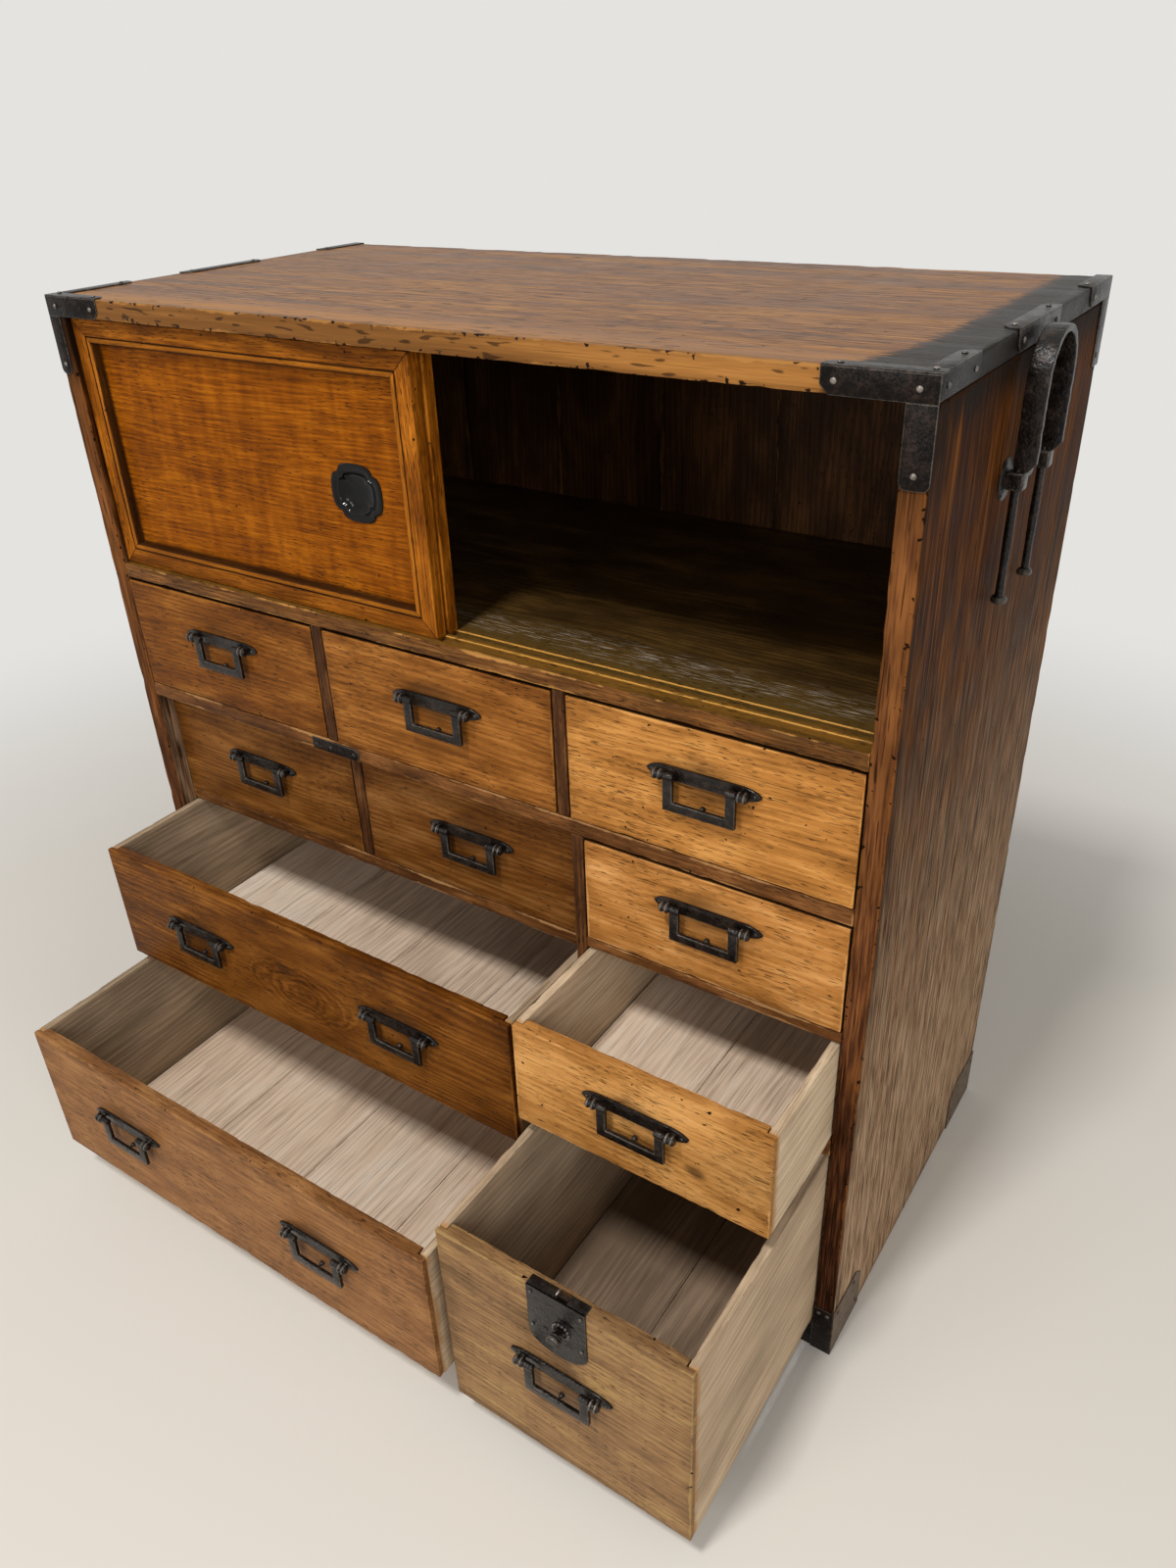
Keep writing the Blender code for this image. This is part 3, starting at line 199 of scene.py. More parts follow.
# Lock of the deep drawer
LOCK_SHEET = 0.0015
LOCK_SIDES = 0.053
LOCK_FULLNESS = 0.9
LOCK_SEAT_GAP = 0.0003
LOCK_SIDE_STEPS = 24
SEAT_CUT = 0.002
HOLE_CUT = 0.01
BUTTON_HOLE = 0.0042
SHANK_RADIUS = 0.0039
SHANK_REACH = 0.010
SHANK_STUB = 0.004
SHANK_HOLE_DEPTH = 0.02
SHANK_HOLE_FRONT = 0.005
SHANK_SLANT_END = 0.0047
NECK_RINGS = 6
NECK_START = 0.0006
NECK_PITCH = 0.0008
SHANK_SLANT = 1.5
KEYHOLE_ABOVE = 0.013
KEYHOLE_RADIUS = 0.0021
KEY_SLIT = (0.013, 0.0016)
KEY_POCKET = 0.009
BOLT_PLAY = 0.0004
COLLAR_HOLE = 0.0058
COLLAR_RADIUS = 0.0073
COLLAR_BEADS = 14
BEAD_RADIUS = 0.0013
BEAD_HEIGHT = 0.0015
ROSETTE_PLACES = ((-0.0114, -0.0445), (0.010, -0.0515))
ROSETTE_RADIUS = 0.0019
ROSETTE_BOSS_HEIGHT = 0.0011
ROSETTE_PETAL_HEIGHT = 0.0008
ROSETTE_PETALS = 6
LOCK_NAIL_INSETS = (0.0065, 0.0465)
RING_CREST = 0.0053
KNOB_STATIONS = (
    (0.0039, 0.0053), (0.0050, 0.0054), (0.0055, 0.0058), (0.0055, 0.0068), (0.0050, 0.0071),
    (0.0050, 0.0075), (0.0055, 0.0078), (0.0055, 0.0087), (0.0050, 0.0090), (0.0050, 0.0094),
    (0.0056, 0.0098), (0.0061, 0.0105), (0.0061, 0.0124), (0.0057, 0.0131), (0.0046, 0.0135),
    (0.0040, 0.0132), (0.0010, 0.0132))

# Carrying handles
CARRY_STRAP_WIDTH = 0.0155
CARRY_STRAP_END = 0.0105
CARRY_SHOULDER = 0.006
CARRY_STRAP_THICKNESS = 0.0055
CARRY_STANDOFF = 0.0085
CARRY_ROD_RADIUS = 0.0033
CARRY_SPAN = 0.0667
CARRY_EYE_HEIGHT = 0.013
CARRY_GAP = 0.0003
CARRY_EDGE = 0.0009
STRAP_STEPS = 12
ARCH_STEPS = 32
STOP_HEAD_HEIGHT = 0.006
STOP_HEAD_RADIUS = 0.006
STOP_HEAD_STATIONS = ((0.6, 0.0), (0.9, 0.0008), (1.0, 0.0022), (1.0, 0.0038), (0.8, 0.0054))
ROD_STATIONS = ((1.0, 0.0), (0.93, 0.020), (1.0, 0.045), (0.95, 0.065))
ROD_ROOT = 0.002
HAMMER_MARK = 0.006
HAMMER_DEPTH = 0.0005
HAMMER_SEED = 7
EYE_SIDE = 0.0126
EYE_EDGE = 0.0016
EYE_BORE = 0.0036
ROSE_STATIONS = (
    (0.0155, -0.0002), (0.0155, 0.0006), (0.0147, 0.0013), (0.0105, 0.0019), (0.0075, 0.0026),
    (0.0062, 0.0034))

# Place, direction and field of view of the camera
EYE = Vector((0.63218, -0.69194, 1.04972))
VIEW_FORWARD = Vector((-0.48799, 0.70857, -0.50970))
VIEW_RIGHT = Vector((0.83426, 0.55035, -0.03365))
LENS = 27.0
FILM_HEIGHT = 36.0

# Light and floor: each lamp's name, place, size and power
LAMPS = (
    ("lamp_above", (0.05, -1.6, 3.6), 0.45, 80),
    ("lamp_front", (-0.5, -3.0, 1.45), 1.2, 28),
    ("lamp_right", (2.4, -1.6, 1.5), 1.2, 28))
LAMP_TARGET = Vector((0, 0, 0.4))
ROOM_LIGHT = 0.5
FLOOR_SIZE = 12
FLOOR_FADE = (0.75, 2.0)

# Colours, from dark to light where there are three, and marks with their place, reach and strength
ROOM = "#e4e3e0"
# A near-black brown for soot, dirt and dark pores, also used for painted shade in gaps, grooves and along
# the door panel's edge.
SOOT_AND_SHADE = "#1a0e06"
FRONT_TONES = {
    "top_left": ("#4f2906", "#744212", "#966026"),
    "top_middle": ("#58300c", "#834f1c", "#aa6f33"),
    "top_right": ("#7e4e1e", "#ae7436", "#ce9450"),
    "second_left": ("#472507", "#6b4016", "#8b5b29"),
    "second_middle": ("#411f05", "#653b12", "#84582c"),
    "second_right": ("#835120", "#b0763a", "#d0985a"),
    "long_upper": ("#462303", "#6a3c0f", "#8b5720"),
    "long_lower": ("#654020", "#875b34", "#a37648"),
    "shallow": ("#8d5b27", "#b98245", "#d29d5d"),
    "deep": ("#5d452a", "#8a6744", "#a78755"),
}
TRAY_TONES = ("#85725a", "#b69d80", "#d6c0a0")
KNOTS = {"long_upper": ((-0.121, -0.113, 0.285), 0.075)}
KNOT_OVAL = (1 / 2.2, 0.0, 1.0)
DARK_MARKS = {
    "long_upper": [((-0.141, -0.113, 0.307), 0.012, 0.6)],
    "shallow": [((0.3306, -0.126, 0.3135), 0.013, 0.7), ((0.390, -0.126, 0.330), 0.090, 0.3)],
    "deep": [((0.262, -0.244, 0.205), 0.050, 0.5)],
}
HANDLE_DARKENING = (0.044, 0.62)
DARKENING_OVAL = (1.0, 0.0, 1.6)
LOCK_CHIP = ((0.2775, -0.2385, 0.2585), 0.0070)

# Lines drawn on the doors' frames: where, half width, tone and strength. The moulding's dark lines are
# painted shade in its grooves, and its light line is a painted highlight on the bead.
MITRE_LINE = (0.0, 0.0008, SOOT_AND_SHADE, 0.8)
MOULDING_SHADE_AND_HIGHLIGHT_LINES = (
    (0.0156, 0.0011, SOOT_AND_SHADE, 0.85), (0.0182, 0.0019, "#a5671c", 0.3), (0.0212, 0.0011, SOOT_AND_SHADE, 0.85))

CARCASS = "carcass"
CLOSED_ROWS = ("top_", "second_")
BAIL_JOINT = "_bail_swing"
DRAWERS = [node[len("drawer_"):] for node in sorted(frame["nodes"]) if node.startswith("drawer_")]
FACING_FRONT = Matrix.Rotation(math.radians(90), 4, "X")
FACING_RIGHT = Matrix.Rotation(math.radians(90), 4, "Y")
FACING_LEFT = Matrix.Rotation(math.radians(-90), 4, "Y")
FACING_UP = Matrix.Identity(4)
FACING_SIDE = {-1: FACING_LEFT, 1: FACING_RIGHT}


# Nodes and colours

def linear(code):
    """An sRGB hex colour as linear red, green, blue and alpha."""
    channels = [int(code[start:start + 2], 16) / 255 for start in (1, 3, 5)]
    return [c / 12.92 if c <= 0.04045 else ((c + 0.055) / 1.055) ** 2.4 for c in channels] + [1.0]


def fill(tree, node, inputs):
    """Sets a node's inputs, by name or number: a socket is linked and any other value is set."""
    for key, value in inputs.items():
        if isinstance(value, bpy.types.NodeSocket):
            tree.links.new(value, node.inputs[key])
        else:
            node.inputs[key].default_value = value


def add(tree, kind, inputs, output=0, **settings):
    """Adds a shader node with its settings and links, and gives back one of its outputs."""
    made = tree.nodes.new("ShaderNode" + kind)
    for name, value in settings.items():
        setattr(made, name, value)
    fill(tree, made, inputs)
    return made.outputs[output]


def new_material(name):
    """A material with its node tree and its shader."""
    material = bpy.data.materials.new(name)
    material.use_nodes = True
    return material, material.node_tree, material.node_tree.nodes["Principled BSDF"]


# Short forms of the nodes that the materials use most

def calc(tree, operation, *values):
    """One step of arithmetic with numbers."""
    return add(tree, "Math", dict(enumerate(values)), operation=operation)


def times_plus(tree, value, factor, base):
    """A value times a factor, plus a base."""
    return calc(tree, "MULTIPLY_ADD", value, factor, base)


def vector_calc(tree, operation, *vectors):
    """One step of arithmetic with vectors."""
    return add(tree, "VectorMath", dict(enumerate(vectors)), operation=operation)


def length_of(tree, vector):
    """A vector's length."""
    return add(tree, "VectorMath", {0: vector}, output="Value", operation="LENGTH")


def parts_of(tree, vector):
    """A vector's x, y and z."""
    return add(tree, "SeparateXYZ", {0: vector}).node.outputs


def ramp(tree, value, start, end, high=1.0, low=0.0, curve="LINEAR"):
    """Goes from low to high while a value goes from start to end."""
    inputs = {"Value": value, "From Min": start, "From Max": end, "To Min": low, "To Max": high}
    return add(tree, "MapRange", inputs, interpolation_type=curve)


def soft_ramp(tree, value, start, end, high=1.0, low=0.0):
    """A ramp that starts and ends gently."""
    return ramp(tree, value, start, end, high, low, "SMOOTHSTEP")


def tint(tree, colour, share, tone):
    """Blends a share of a tone into a colour; both are hex colours or sockets."""
    colour, tone = (linear(item) if isinstance(item, str) else item for item in (colour, tone))
    return add(tree, "Mix", {0: share, 6: colour, 7: tone}, output=2, data_type="RGBA")


def stained(tree, colour, tone, value, start, end, share):
    """Blends a tone gently into a colour while a value goes from start to end."""
    return tint(tree, colour, soft_ramp(tree, value, start, end, share), tone)


def noted(tree, name):
    """A vector that note_board wrote on the board's points."""
    return add(tree, "Attribute", {}, output="Vector", attribute_name=name)


def object_point(tree):
    """A point's place in object coordinates."""
    return add(tree, "TexCoord", {}, output="Object")


def measured_from(tree, place):
    """A point's place in object coordinates, counted from another place."""
    return add(tree, "Mapping", {"Vector": object_point(tree), "Location": [-c for c in place]})


def speckle(tree, point, size, detail):
    """Noise in spots of about this size."""
    return add(tree, "TexNoise", {"Vector": point, "Scale": 1 / size, "Detail": detail})


# Patterns that the materials share; sizes are in metres, tones and shares go from 0 to 1

def board_point(tree):
    """Object coordinates shifted for each board, so that no two boards have the same figure."""
    return vector_calc(tree, "ADD", object_point(tree), noted(tree, "grain_shift"))


def streaks(tree, point, along, length, width, detail=3.0):
    """Noise drawn out along the grain, in streaks of about this length and width."""
    scale = [1 / width] * 3
    scale["XYZ".index(along)] = 1 / length
    drawn = add(tree, "Mapping", {"Vector": point, "Scale": scale})
    return speckle(tree, drawn, 1.0, detail)


def wall_depths(tree):
    """How far a point lies in from the nearer wall of its board, along each axis."""
    away = vector_calc(tree, "ABSOLUTE", noted(tree, "from_middle"))
    return parts_of(tree, vector_calc(tree, "SUBTRACT", noted(tree, "half_size"), away))


def edge_distance(tree):
    """How far a point lies from the nearest edge of its board."""
    x, y, z = wall_depths(tree)
    smaller = calc(tree, "MINIMUM", x, y)
    larger = calc(tree, "MAXIMUM", x, y)
    return calc(tree, "MAXIMUM", smaller, calc(tree, "MINIMUM", larger, z))


def board_depth(tree):
    """How far a point lies behind its board's front edge."""
    behind = vector_calc(tree, "ADD", noted(tree, "from_middle"), noted(tree, "half_size"))
    return parts_of(tree, behind)["Y"]


def front_edge(tree):
    """1 on a board's front edge and 0 behind it."""
    return ramp(tree, board_depth(tree), 0.0022, 0.0010)


def facing(tree):
    """Which way the surface faces, as x, y and z."""
    return parts_of(tree, add(tree, "NewGeometry", {}, output="Normal"))


def growth_rings(tree, point, along, width, knot):
    """Wavy lines along the grain, 0 to 1, that close into ovals round a knot."""
    parts = parts_of(tree, point)
    first, second = (parts[axis] for axis in "XYZ" if axis != along)
    cross = calc(tree, "ADD", first, second)
    bend = streaks(tree, point, along, 0.42, 0.055, 2.0)
    cross = times_plus(tree, bend, 0.055, cross)
    if knot:
        middle, reach = knot
        far = length_of(tree, vector_calc(tree, "MULTIPLY", measured_from(tree, middle), KNOT_OVAL))
        swirl = speckle(tree, point, 0.022, 2.0)
        wobble = times_plus(tree, swirl, 0.016, far)
        near = soft_ramp(tree, far, reach, 0.45 * reach)
        cross = add(tree, "Mix", {0: near, 2: cross, 3: wobble}, data_type="FLOAT")
    turn = calc(tree, "MULTIPLY", cross, 2 * math.pi / width)
    return ramp(tree, calc(tree, "SINE", turn), -1.0, 1.0)


def swayed(tree, tone, patterns):
    """A tone made lighter or darker where patterns are above or below their middle, each by its weight."""
    for pattern, weight in patterns:
        tone = calc(tree, "ADD", tone, times_plus(tree, pattern, weight, -weight / 2))
    return tone


def three_tones(tree, value, tones):
    """A colour from dark through middle to light as the value goes from 0.2 to 0.8."""
    dark, middle, light = tones
    colour = tint(tree, dark, ramp(tree, value, 0.2, 0.5), middle)
    return tint(tree, colour, ramp(tree, value, 0.5, 0.8), light)


# Materials

def lacquered_wood(name, tones, along, worn=None, gloss=0.36, shine=0.08, rings=0.0065, mottle=0.9,
                   patch=(0.060, 0.022), grain=0.42, pore=(0.009, 0.0008), chipped=0.06, knot=None,
                   curl=0.0, handled=(), over=None, stain=None):
    """Softwood under wiped lacquer, darkened by hands and smoke.

    The eye gets soft patches of deeper colour, faint streaks and growth lines, short dark pores, dents
    filled with dirt, darkening towards the edges that is dirt and painted shade, darker wood round the
    handles, and golden wood where edges lost their lacquer.
    """
    material, tree, shader = new_material(name)
    point = board_point(tree)
    patches = streaks(tree, point, along, *patch, 6.0)
    fine = streaks(tree, point, along, 0.040, 0.0018)
    lines = growth_rings(tree, point, along, rings, knot)
    patterns = [(patches, mottle), (fine, grain), (lines, 0.22 if knot else 0.14)]
    if curl:
        patterns.append((streaks(tree, point, "Z", 0.045, 0.011, 1.0), curl))
    colour = three_tones(tree, swayed(tree, 0.5, patterns), tones)
    if over:
        colour = over(tree, colour, fine)

    edge = edge_distance(tree)
    ragged = speckle(tree, point, 0.011, 4.0)
    stretch = speckle(tree, point, 0.075, 1.0)
    # Dirt and painted shade: each board darkens towards its edges, as in the shade under the rails.
    edge_darkening = times_plus(tree, patches, 0.05, edge)
    colour = stained(tree, colour, tones[0], edge_darkening, 0.042, 0.018, 0.55)
    for place, reach, strength in handled:
        colour = darkening_round(tree, colour, patches, place, reach, strength)
    # Open pores are about 0.3 mm wide; they are drawn at 0.8 mm or more so that they show.
    ticks = streaks(tree, point, along, *pore, 0.0)
    pores = soft_ramp(tree, times_plus(tree, stretch, 0.30, ticks), 0.82, 0.89)
    veins = soft_ramp(tree, streaks(tree, point, along, 0.11, 0.0011, 1.0), 0.64, 0.74, 0.6)
    pores = calc(tree, "MAXIMUM", pores, veins)
    colour = tint(tree, colour, calc(tree, "MULTIPLY", pores, 0.7), SOOT_AND_SHADE)
    bare = times_plus(tree, ragged, 0.005, edge)
    bare = times_plus(tree, stretch, 0.010, bare)
    bare = soft_ramp(tree, bare, 0.0088, 0.0074, 0.6)
    colour = tint(tree, colour, bare, worn or tones[2])
    near = ramp(tree, edge, 0.005, 0.0, chipped)
    dents = calc(tree, "ADD", speckle(tree, point, 0.006, 2.0), near)
    dents = soft_ramp(tree, dents, 0.735, 0.775)
    colour = tint(tree, colour, dents, SOOT_AND_SHADE)
    if stain:
        colour = stain(tree, colour, fine)

    dull = times_plus(tree, bare, 0.25, gloss)
    rough = times_plus(tree, patches, 0.25, dull)
    height = times_plus(tree, pores, -0.7, fine)
    height = times_plus(tree, dents, -1.5, height)
    relief = add(tree, "Bump", {"Height": height, "Strength": 0.5, "Distance": 0.0008})
    fill(tree, shader, {"Base Color": colour, "Roughness": rough, "Normal": relief, "IOR": 1.5,
                        "Specular IOR Level": shine})
    return material


def darkening_round(tree, colour, patches, place, reach, strength):
    """Darker wood round a fitting, at a place in object coordinates."""
    flat = vector_calc(tree, "MULTIPLY", measured_from(tree, place), DARKENING_OVAL)
    far = times_plus(tree, patches, reach, length_of(tree, flat))
    return stained(tree, colour, "#33200f", far, 1.55 * reach, 0.75 * reach, strength)


def bare_wood(name, tones, along, stain_reach=0.0):
    """Planed paulownia with no finish, grey-beige from age: fine straight dark grain lines, a dry surface,
    dirt in patches, and lacquer that has soaked in near the front."""
    material, tree, shader = new_material(name)
    point = board_point(tree)
    broad = streaks(tree, point, along, 0.12, 0.035)
    fine = streaks(tree, point, along, 0.060, 0.0013)
    lines = growth_rings(tree, point, along, 0.0085, None)
    each_board = speckle(tree, noted(tree, "grain_shift"), 1 / 2.3, 0.0)
    tone = swayed(tree, 0.5, ((broad, 0.6), (fine, 0.5), (lines, 0.12), (each_board, 0.9)))
    colour = three_tones(tree, tone, tones)
    # Grain lines are hair-thin; they are drawn at 0.8 mm so that they show.
    pores = soft_ramp(tree, streaks(tree, point, along, 0.060, 0.0008, 1.0), 0.56, 0.68)
    colour = tint(tree, colour, calc(tree, "MULTIPLY", pores, 0.45), "#5a4636")
    ragged = speckle(tree, point, 0.020, 4.0)
    edge_darkening = times_plus(tree, ragged, 0.02, edge_distance(tree))
    colour = stained(tree, colour, tones[0], edge_darkening, 0.016, 0.007, 0.35)
    if stain_reach:
        depth = times_plus(tree, ragged, stain_reach, board_depth(tree))
        colour = stained(tree, colour, "#a9783f", depth, stain_reach, 0.5 * stain_reach, 0.8)
    height = times_plus(tree, pores, -0.6, fine)
    relief = add(tree, "Bump", {"Height": height, "Strength": 0.4, "Distance": 0.0006})
    fill(tree, shader, {"Base Color": colour, "Roughness": 0.78, "Normal": relief, "IOR": 1.45,
                        "Specular IOR Level": 0.25})
    return material


def forged_iron(name, tones, rough=0.30, shine=0.3, worn="#857b70", chip=None):
    """Hand-forged iron, burnt black and oiled: brown-black scale with hammer marks and small pits that
    glint, and a lighter, more metallic tone on edges, rings and nail heads, for bare metal that cloth and
    hands have rubbed and for painted glints."""
    material, tree, shader = new_material(name)
    place = object_point(tree)
    cloud = speckle(tree, place, 0.009, 5.0)
    pits = speckle(tree, place, 0.0022, 3.0)
    tone = swayed(tree, cloud, [(pits, 0.7)])
    colour = three_tones(tree, tone, tones)
    if chip:
        middle, reach = chip
        far = times_plus(tree, pits, reach, length_of(tree, measured_from(tree, middle)))
        colour = tint(tree, colour, ramp(tree, far, 1.2 * reach, 1.05 * reach), "#c8b9b0")
    # Painted glints and rubbed metal: marked faces take a lighter, more metallic tone.
    rubbed_and_glint = add(tree, "Attribute", {}, output="Fac", attribute_name="rubbed_and_glint")
    rubbed_and_glint = calc(tree, "MULTIPLY", rubbed_and_glint, ramp(tree, tone, 0.30, 0.58, low=0.3))
    colour = tint(tree, colour, rubbed_and_glint, worn)
    gloss = times_plus(tree, cloud, 0.30, rough - 0.15)
    metal = times_plus(tree, rubbed_and_glint, 0.6, 0.1)
    relief = add(tree, "Bump", {"Height": tone, "Strength": 0.8, "Distance": 0.0010})
    fill(tree, shader, {"Base Color": colour, "Roughness": gloss, "Metallic": metal, "Normal": relief,
                        "Specular IOR Level": shine})
    return material


def black_lacquered_iron(name):
    """Iron under burnt-on black lacquer: smooth, nearly black, with crisp highlights on its rolled edges."""
    material, tree, shader = new_material(name)
    cloud = speckle(tree, object_point(tree), 0.006, 3.0)
    colour = three_tones(tree, cloud, ("#040303", "#080707", "#12100f"))
    gloss = times_plus(tree, cloud, 0.12, 0.05)
    fill(tree, shader, {"Base Color": colour, "Roughness": gloss, "Specular IOR Level": 0.2})
    return material


# Wear, stains, and painted light and shade that single boards have over or under the marks of all lacquered
# wood

def black_band(tree, colour, fine):
    """Lamp black that ran into the top along its right edge, ragged along the grain."""
    place = parts_of(tree, noted(tree, "from_middle"))
    reach = soft_ramp(tree, place["Y"], -0.20, -0.10, 0.372, 0.352)
    past = calc(tree, "SUBTRACT", times_plus(tree, fine, 0.040, place["X"]), reach)
    return stained(tree, colour, "#070504", past, 0.024, 0.028, 0.97)


def golden_front(tree, colour, fine):
    """The top's front strip has lost its dark lacquer to arms and sleeves and is golden brown."""
    depth = times_plus(tree, fine, 0.09, board_depth(tree))
    return stained(tree, colour, "#9d6a34", depth, 0.105, 0.050, 0.75)


def gap_dirt_and_shade(tree, colour, fine):
    """Dirt and painted shade in the gap round a closed drawer, on the edges of its front."""
    depth = times_plus(tree, fine, 0.0006, board_depth(tree))
    return tint(tree, colour, ramp(tree, depth, 0.0008, 0.0018, 0.92), SOOT_AND_SHADE)


def raw_behind(tree, colour, fine):
    """The face turned away from the room never had lacquer: dry, dusty brown."""
    behind = ramp(tree, facing(tree)["Y"], 0.6, 0.9, 0.85)
    raw = three_tones(tree, fine, ("#5b4531", "#866b50", "#a58a6c"))
    return tint(tree, colour, behind, raw)


def closed_front(tree, colour, fine):
    """A closed drawer's front has edges darkened by dirt and painted shade, and a raw back."""
    return raw_behind(tree, gap_dirt_and_shade(tree, colour, fine), fine)


def iron_stain(tree, colour, fine):
    """Black iron stain in the sides round their corner irons, ragged along the grain."""
    below = vector_calc(tree, "SUBTRACT", noted(tree, "half_size"), noted(tree, "from_middle"))
    below = parts_of(tree, below)["Z"]
    corner = calc(tree, "MAXIMUM", board_depth(tree), calc(tree, "MULTIPLY", below, 0.62))
    corner = calc(tree, "MINIMUM", corner, calc(tree, "ADD", below, 0.012))
    ragged = times_plus(tree, fine, 0.030, corner)
    return stained(tree, colour, "#150d07", ragged, 0.060, 0.034, 0.85)


def aged_side(tree, colour, fine):
    """The sides are deep brown with thin golden streaks at the top and turn lighter and greyer towards the
    floor, from dust and a painted sheen of the pale floor; their front edges are golden where hands reach
    and black with soot at the bottom."""
    place = object_point(tree)
    height = parts_of(tree, place)["Z"]
    threads = streaks(tree, place, "Z", 0.24, 0.0045, 4.0)
    colour = stained(tree, colour, "#834f1d", threads, 0.50, 0.74, 0.65)
    ragged = times_plus(tree, fine, -0.25, height)
    ridges = times_plus(tree, fine, 2.0, -0.5)
    # Dust and painted sheen: the lower side turns lighter and greyer, for the pale floor's reflection as
    # well as dust.
    dust_and_floor_sheen = three_tones(tree, ridges, ("#6b5039", "#a38465", "#c2a587"))
    colour = stained(tree, colour, dust_and_floor_sheen, ragged, 0.66, 0.02, 0.8)
    held = times_plus(tree, fine, 1.3, ramp(tree, height, 0.05, 0.65, 0.10, -0.40))
    edge_colour = three_tones(tree, held, ("#241309", "#54311d", "#80502a"))
    return tint(tree, colour, front_edge(tree), edge_colour)


def shelf_wear_and_light(tree, colour, fine):
    """The shelf's front is olive brown, from the wear of sliding doors and hands and from painted light on
    its front, and its tracks' edges are golden, from wear and as a painted highlight; things pushed in leave
    pale scratches, and the front edge is brown like the rails."""
    ragged = times_plus(tree, fine, 0.035, board_depth(tree))
    # Wear and painted light: olive brown towards the front, darker further in.
    colour = stained(tree, colour, "#55401c", ragged, 0.120, 0.045, 0.85)
    scratch = streaks(tree, object_point(tree), "X", 0.022, 0.0013, 2.0)
    scuffs = ramp(tree, scratch, 0.54, 0.66)
    for limits in ((0.055, 0.072), (0.105, 0.080, 0.55)):
        scuffs = calc(tree, "MULTIPLY", scuffs, soft_ramp(tree, ragged, *limits))
    colour = tint(tree, colour, scuffs, "#b3a797")
    colour = stained(tree, colour, "#7d551f", ragged, 0.052, 0.034, 0.75)
    # Wear and painted highlight: the tracks' bevelled edges turn golden.
    normal = facing(tree)
    tilt = calc(tree, "MULTIPLY", calc(tree, "ABSOLUTE", normal["Y"]), normal["Z"])
    colour = tint(tree, colour, ramp(tree, tilt, 0.15, 0.30, 0.85), "#b9853a")
    rail = three_tones(tree, fine, ("#3f2411", "#74481f", "#9c6c3a"))
    return tint(tree, colour, front_edge(tree), rail)


def line_at(tree, colour, value, middle, half_width, tone, share):
    """Draws a line of another tone where a value passes its middle."""
    apart = calc(tree, "ABSOLUTE", calc(tree, "ADD", value, -middle))
    return tint(tree, colour, ramp(tree, apart, half_width, 0.5 * half_width, share), tone)


def mitred_frame(tree, colour, fine):
    """Dirt where a door's rails and stiles meet, painted shade in its moulding's grooves, and a painted
    highlight on the bead.
    """
    depths = wall_depths(tree)
    apart = calc(tree, "SUBTRACT", depths["X"], depths["Z"])
    colour = line_at(tree, colour, apart, *MITRE_LINE)
    inward = calc(tree, "MINIMUM", depths["X"], depths["Z"])
    for line in MOULDING_SHADE_AND_HIGHLIGHT_LINES:
        colour = line_at(tree, colour, inward, *line)
    return colour


def panel_edge_shadow(tree, colour, fine):
    """Painted shadow along the panel's edge, under the moulding."""
    depths = wall_depths(tree)
    inward = calc(tree, "MINIMUM", depths["X"], depths["Z"])
    inward = times_plus(tree, fine, 0.003, inward)
    return stained(tree, colour, SOOT_AND_SHADE, inward, DOOR_FRAME_WIDTH + 0.006, DOOR_FRAME_WIDTH + 0.0015, 0.75)


def handle_places(drawer_name):
    """Where a drawer's handles sit, in object coordinates, with the reach and strength of the darkening
    round them.
    """
    body = drawer_name + "_drawer"
    return [(joint["pos_m"], *HANDLE_DARKENING) for joint in frame["joints"]
            if joint["parent"] == body and joint["name"].endswith(BAIL_JOINT)]


WOODS = {name: lacquered_wood("wiped_lacquer_" + name, tones, "X", knot=KNOTS.get(name),
                              handled=handle_places(name) + DARK_MARKS.get(name, []),
                              stain=closed_front if name.startswith(CLOSED_ROWS) else raw_behind)
         for name, tones in FRONT_TONES.items()}
TOP_WOOD = lacquered_wood("rubbed_lacquer_top", ("#3f220c", "#764a22", "#a6753c"), "X", gloss=0.24,
                          shine=0.07, patch=(0.34, 0.014), grain=1.2, pore=(0.020, 0.0032), chipped=0.16,
                          over=golden_front, stain=black_band)
SIDE_WOOD = lacquered_wood("rubbed_lacquer_side", ("#200c02", "#3d1e08", "#5f3610"), "Z", over=aged_side,
                           stain=iron_stain, worn="#7b4a22", gloss=0.42, shine=0.02, mottle=1.2, grain=0.8,
                           pore=(0.035, 0.0020), chipped=0.13)
RAIL_WOOD = lacquered_wood("rubbed_lacquer_rail", ("#40230e", "#69411f", "#915f33"), "X", worn="#ab7f50")
UPRIGHT_WOOD = lacquered_wood("rubbed_lacquer_upright", ("#2b1708", "#4f2f18", "#744b29"), "Z")
SHELF_WOOD = lacquered_wood("smoke_dark_shelf", ("#221609", "#382710", "#5b411d"), "X", gloss=0.28,
                            over=shelf_wear_and_light, worn="#c08a48")
BACK_WOOD = lacquered_wood("smoke_dark_back", ("#211207", "#39220f", "#5a391b"), "Z", worn="#6d4a22",
                           stain=raw_behind)
DOOR_GRAIN = {"rings": 0.004, "grain": 0.8, "shine": 0.05}
DOOR_PANEL_WOOD = lacquered_wood("wiped_lacquer_door_panel", ("#5a2b01", "#7f4203", "#9e5a0c"), "X",
                                 mottle=0.6, curl=0.45, stain=panel_edge_shadow, **DOOR_GRAIN)
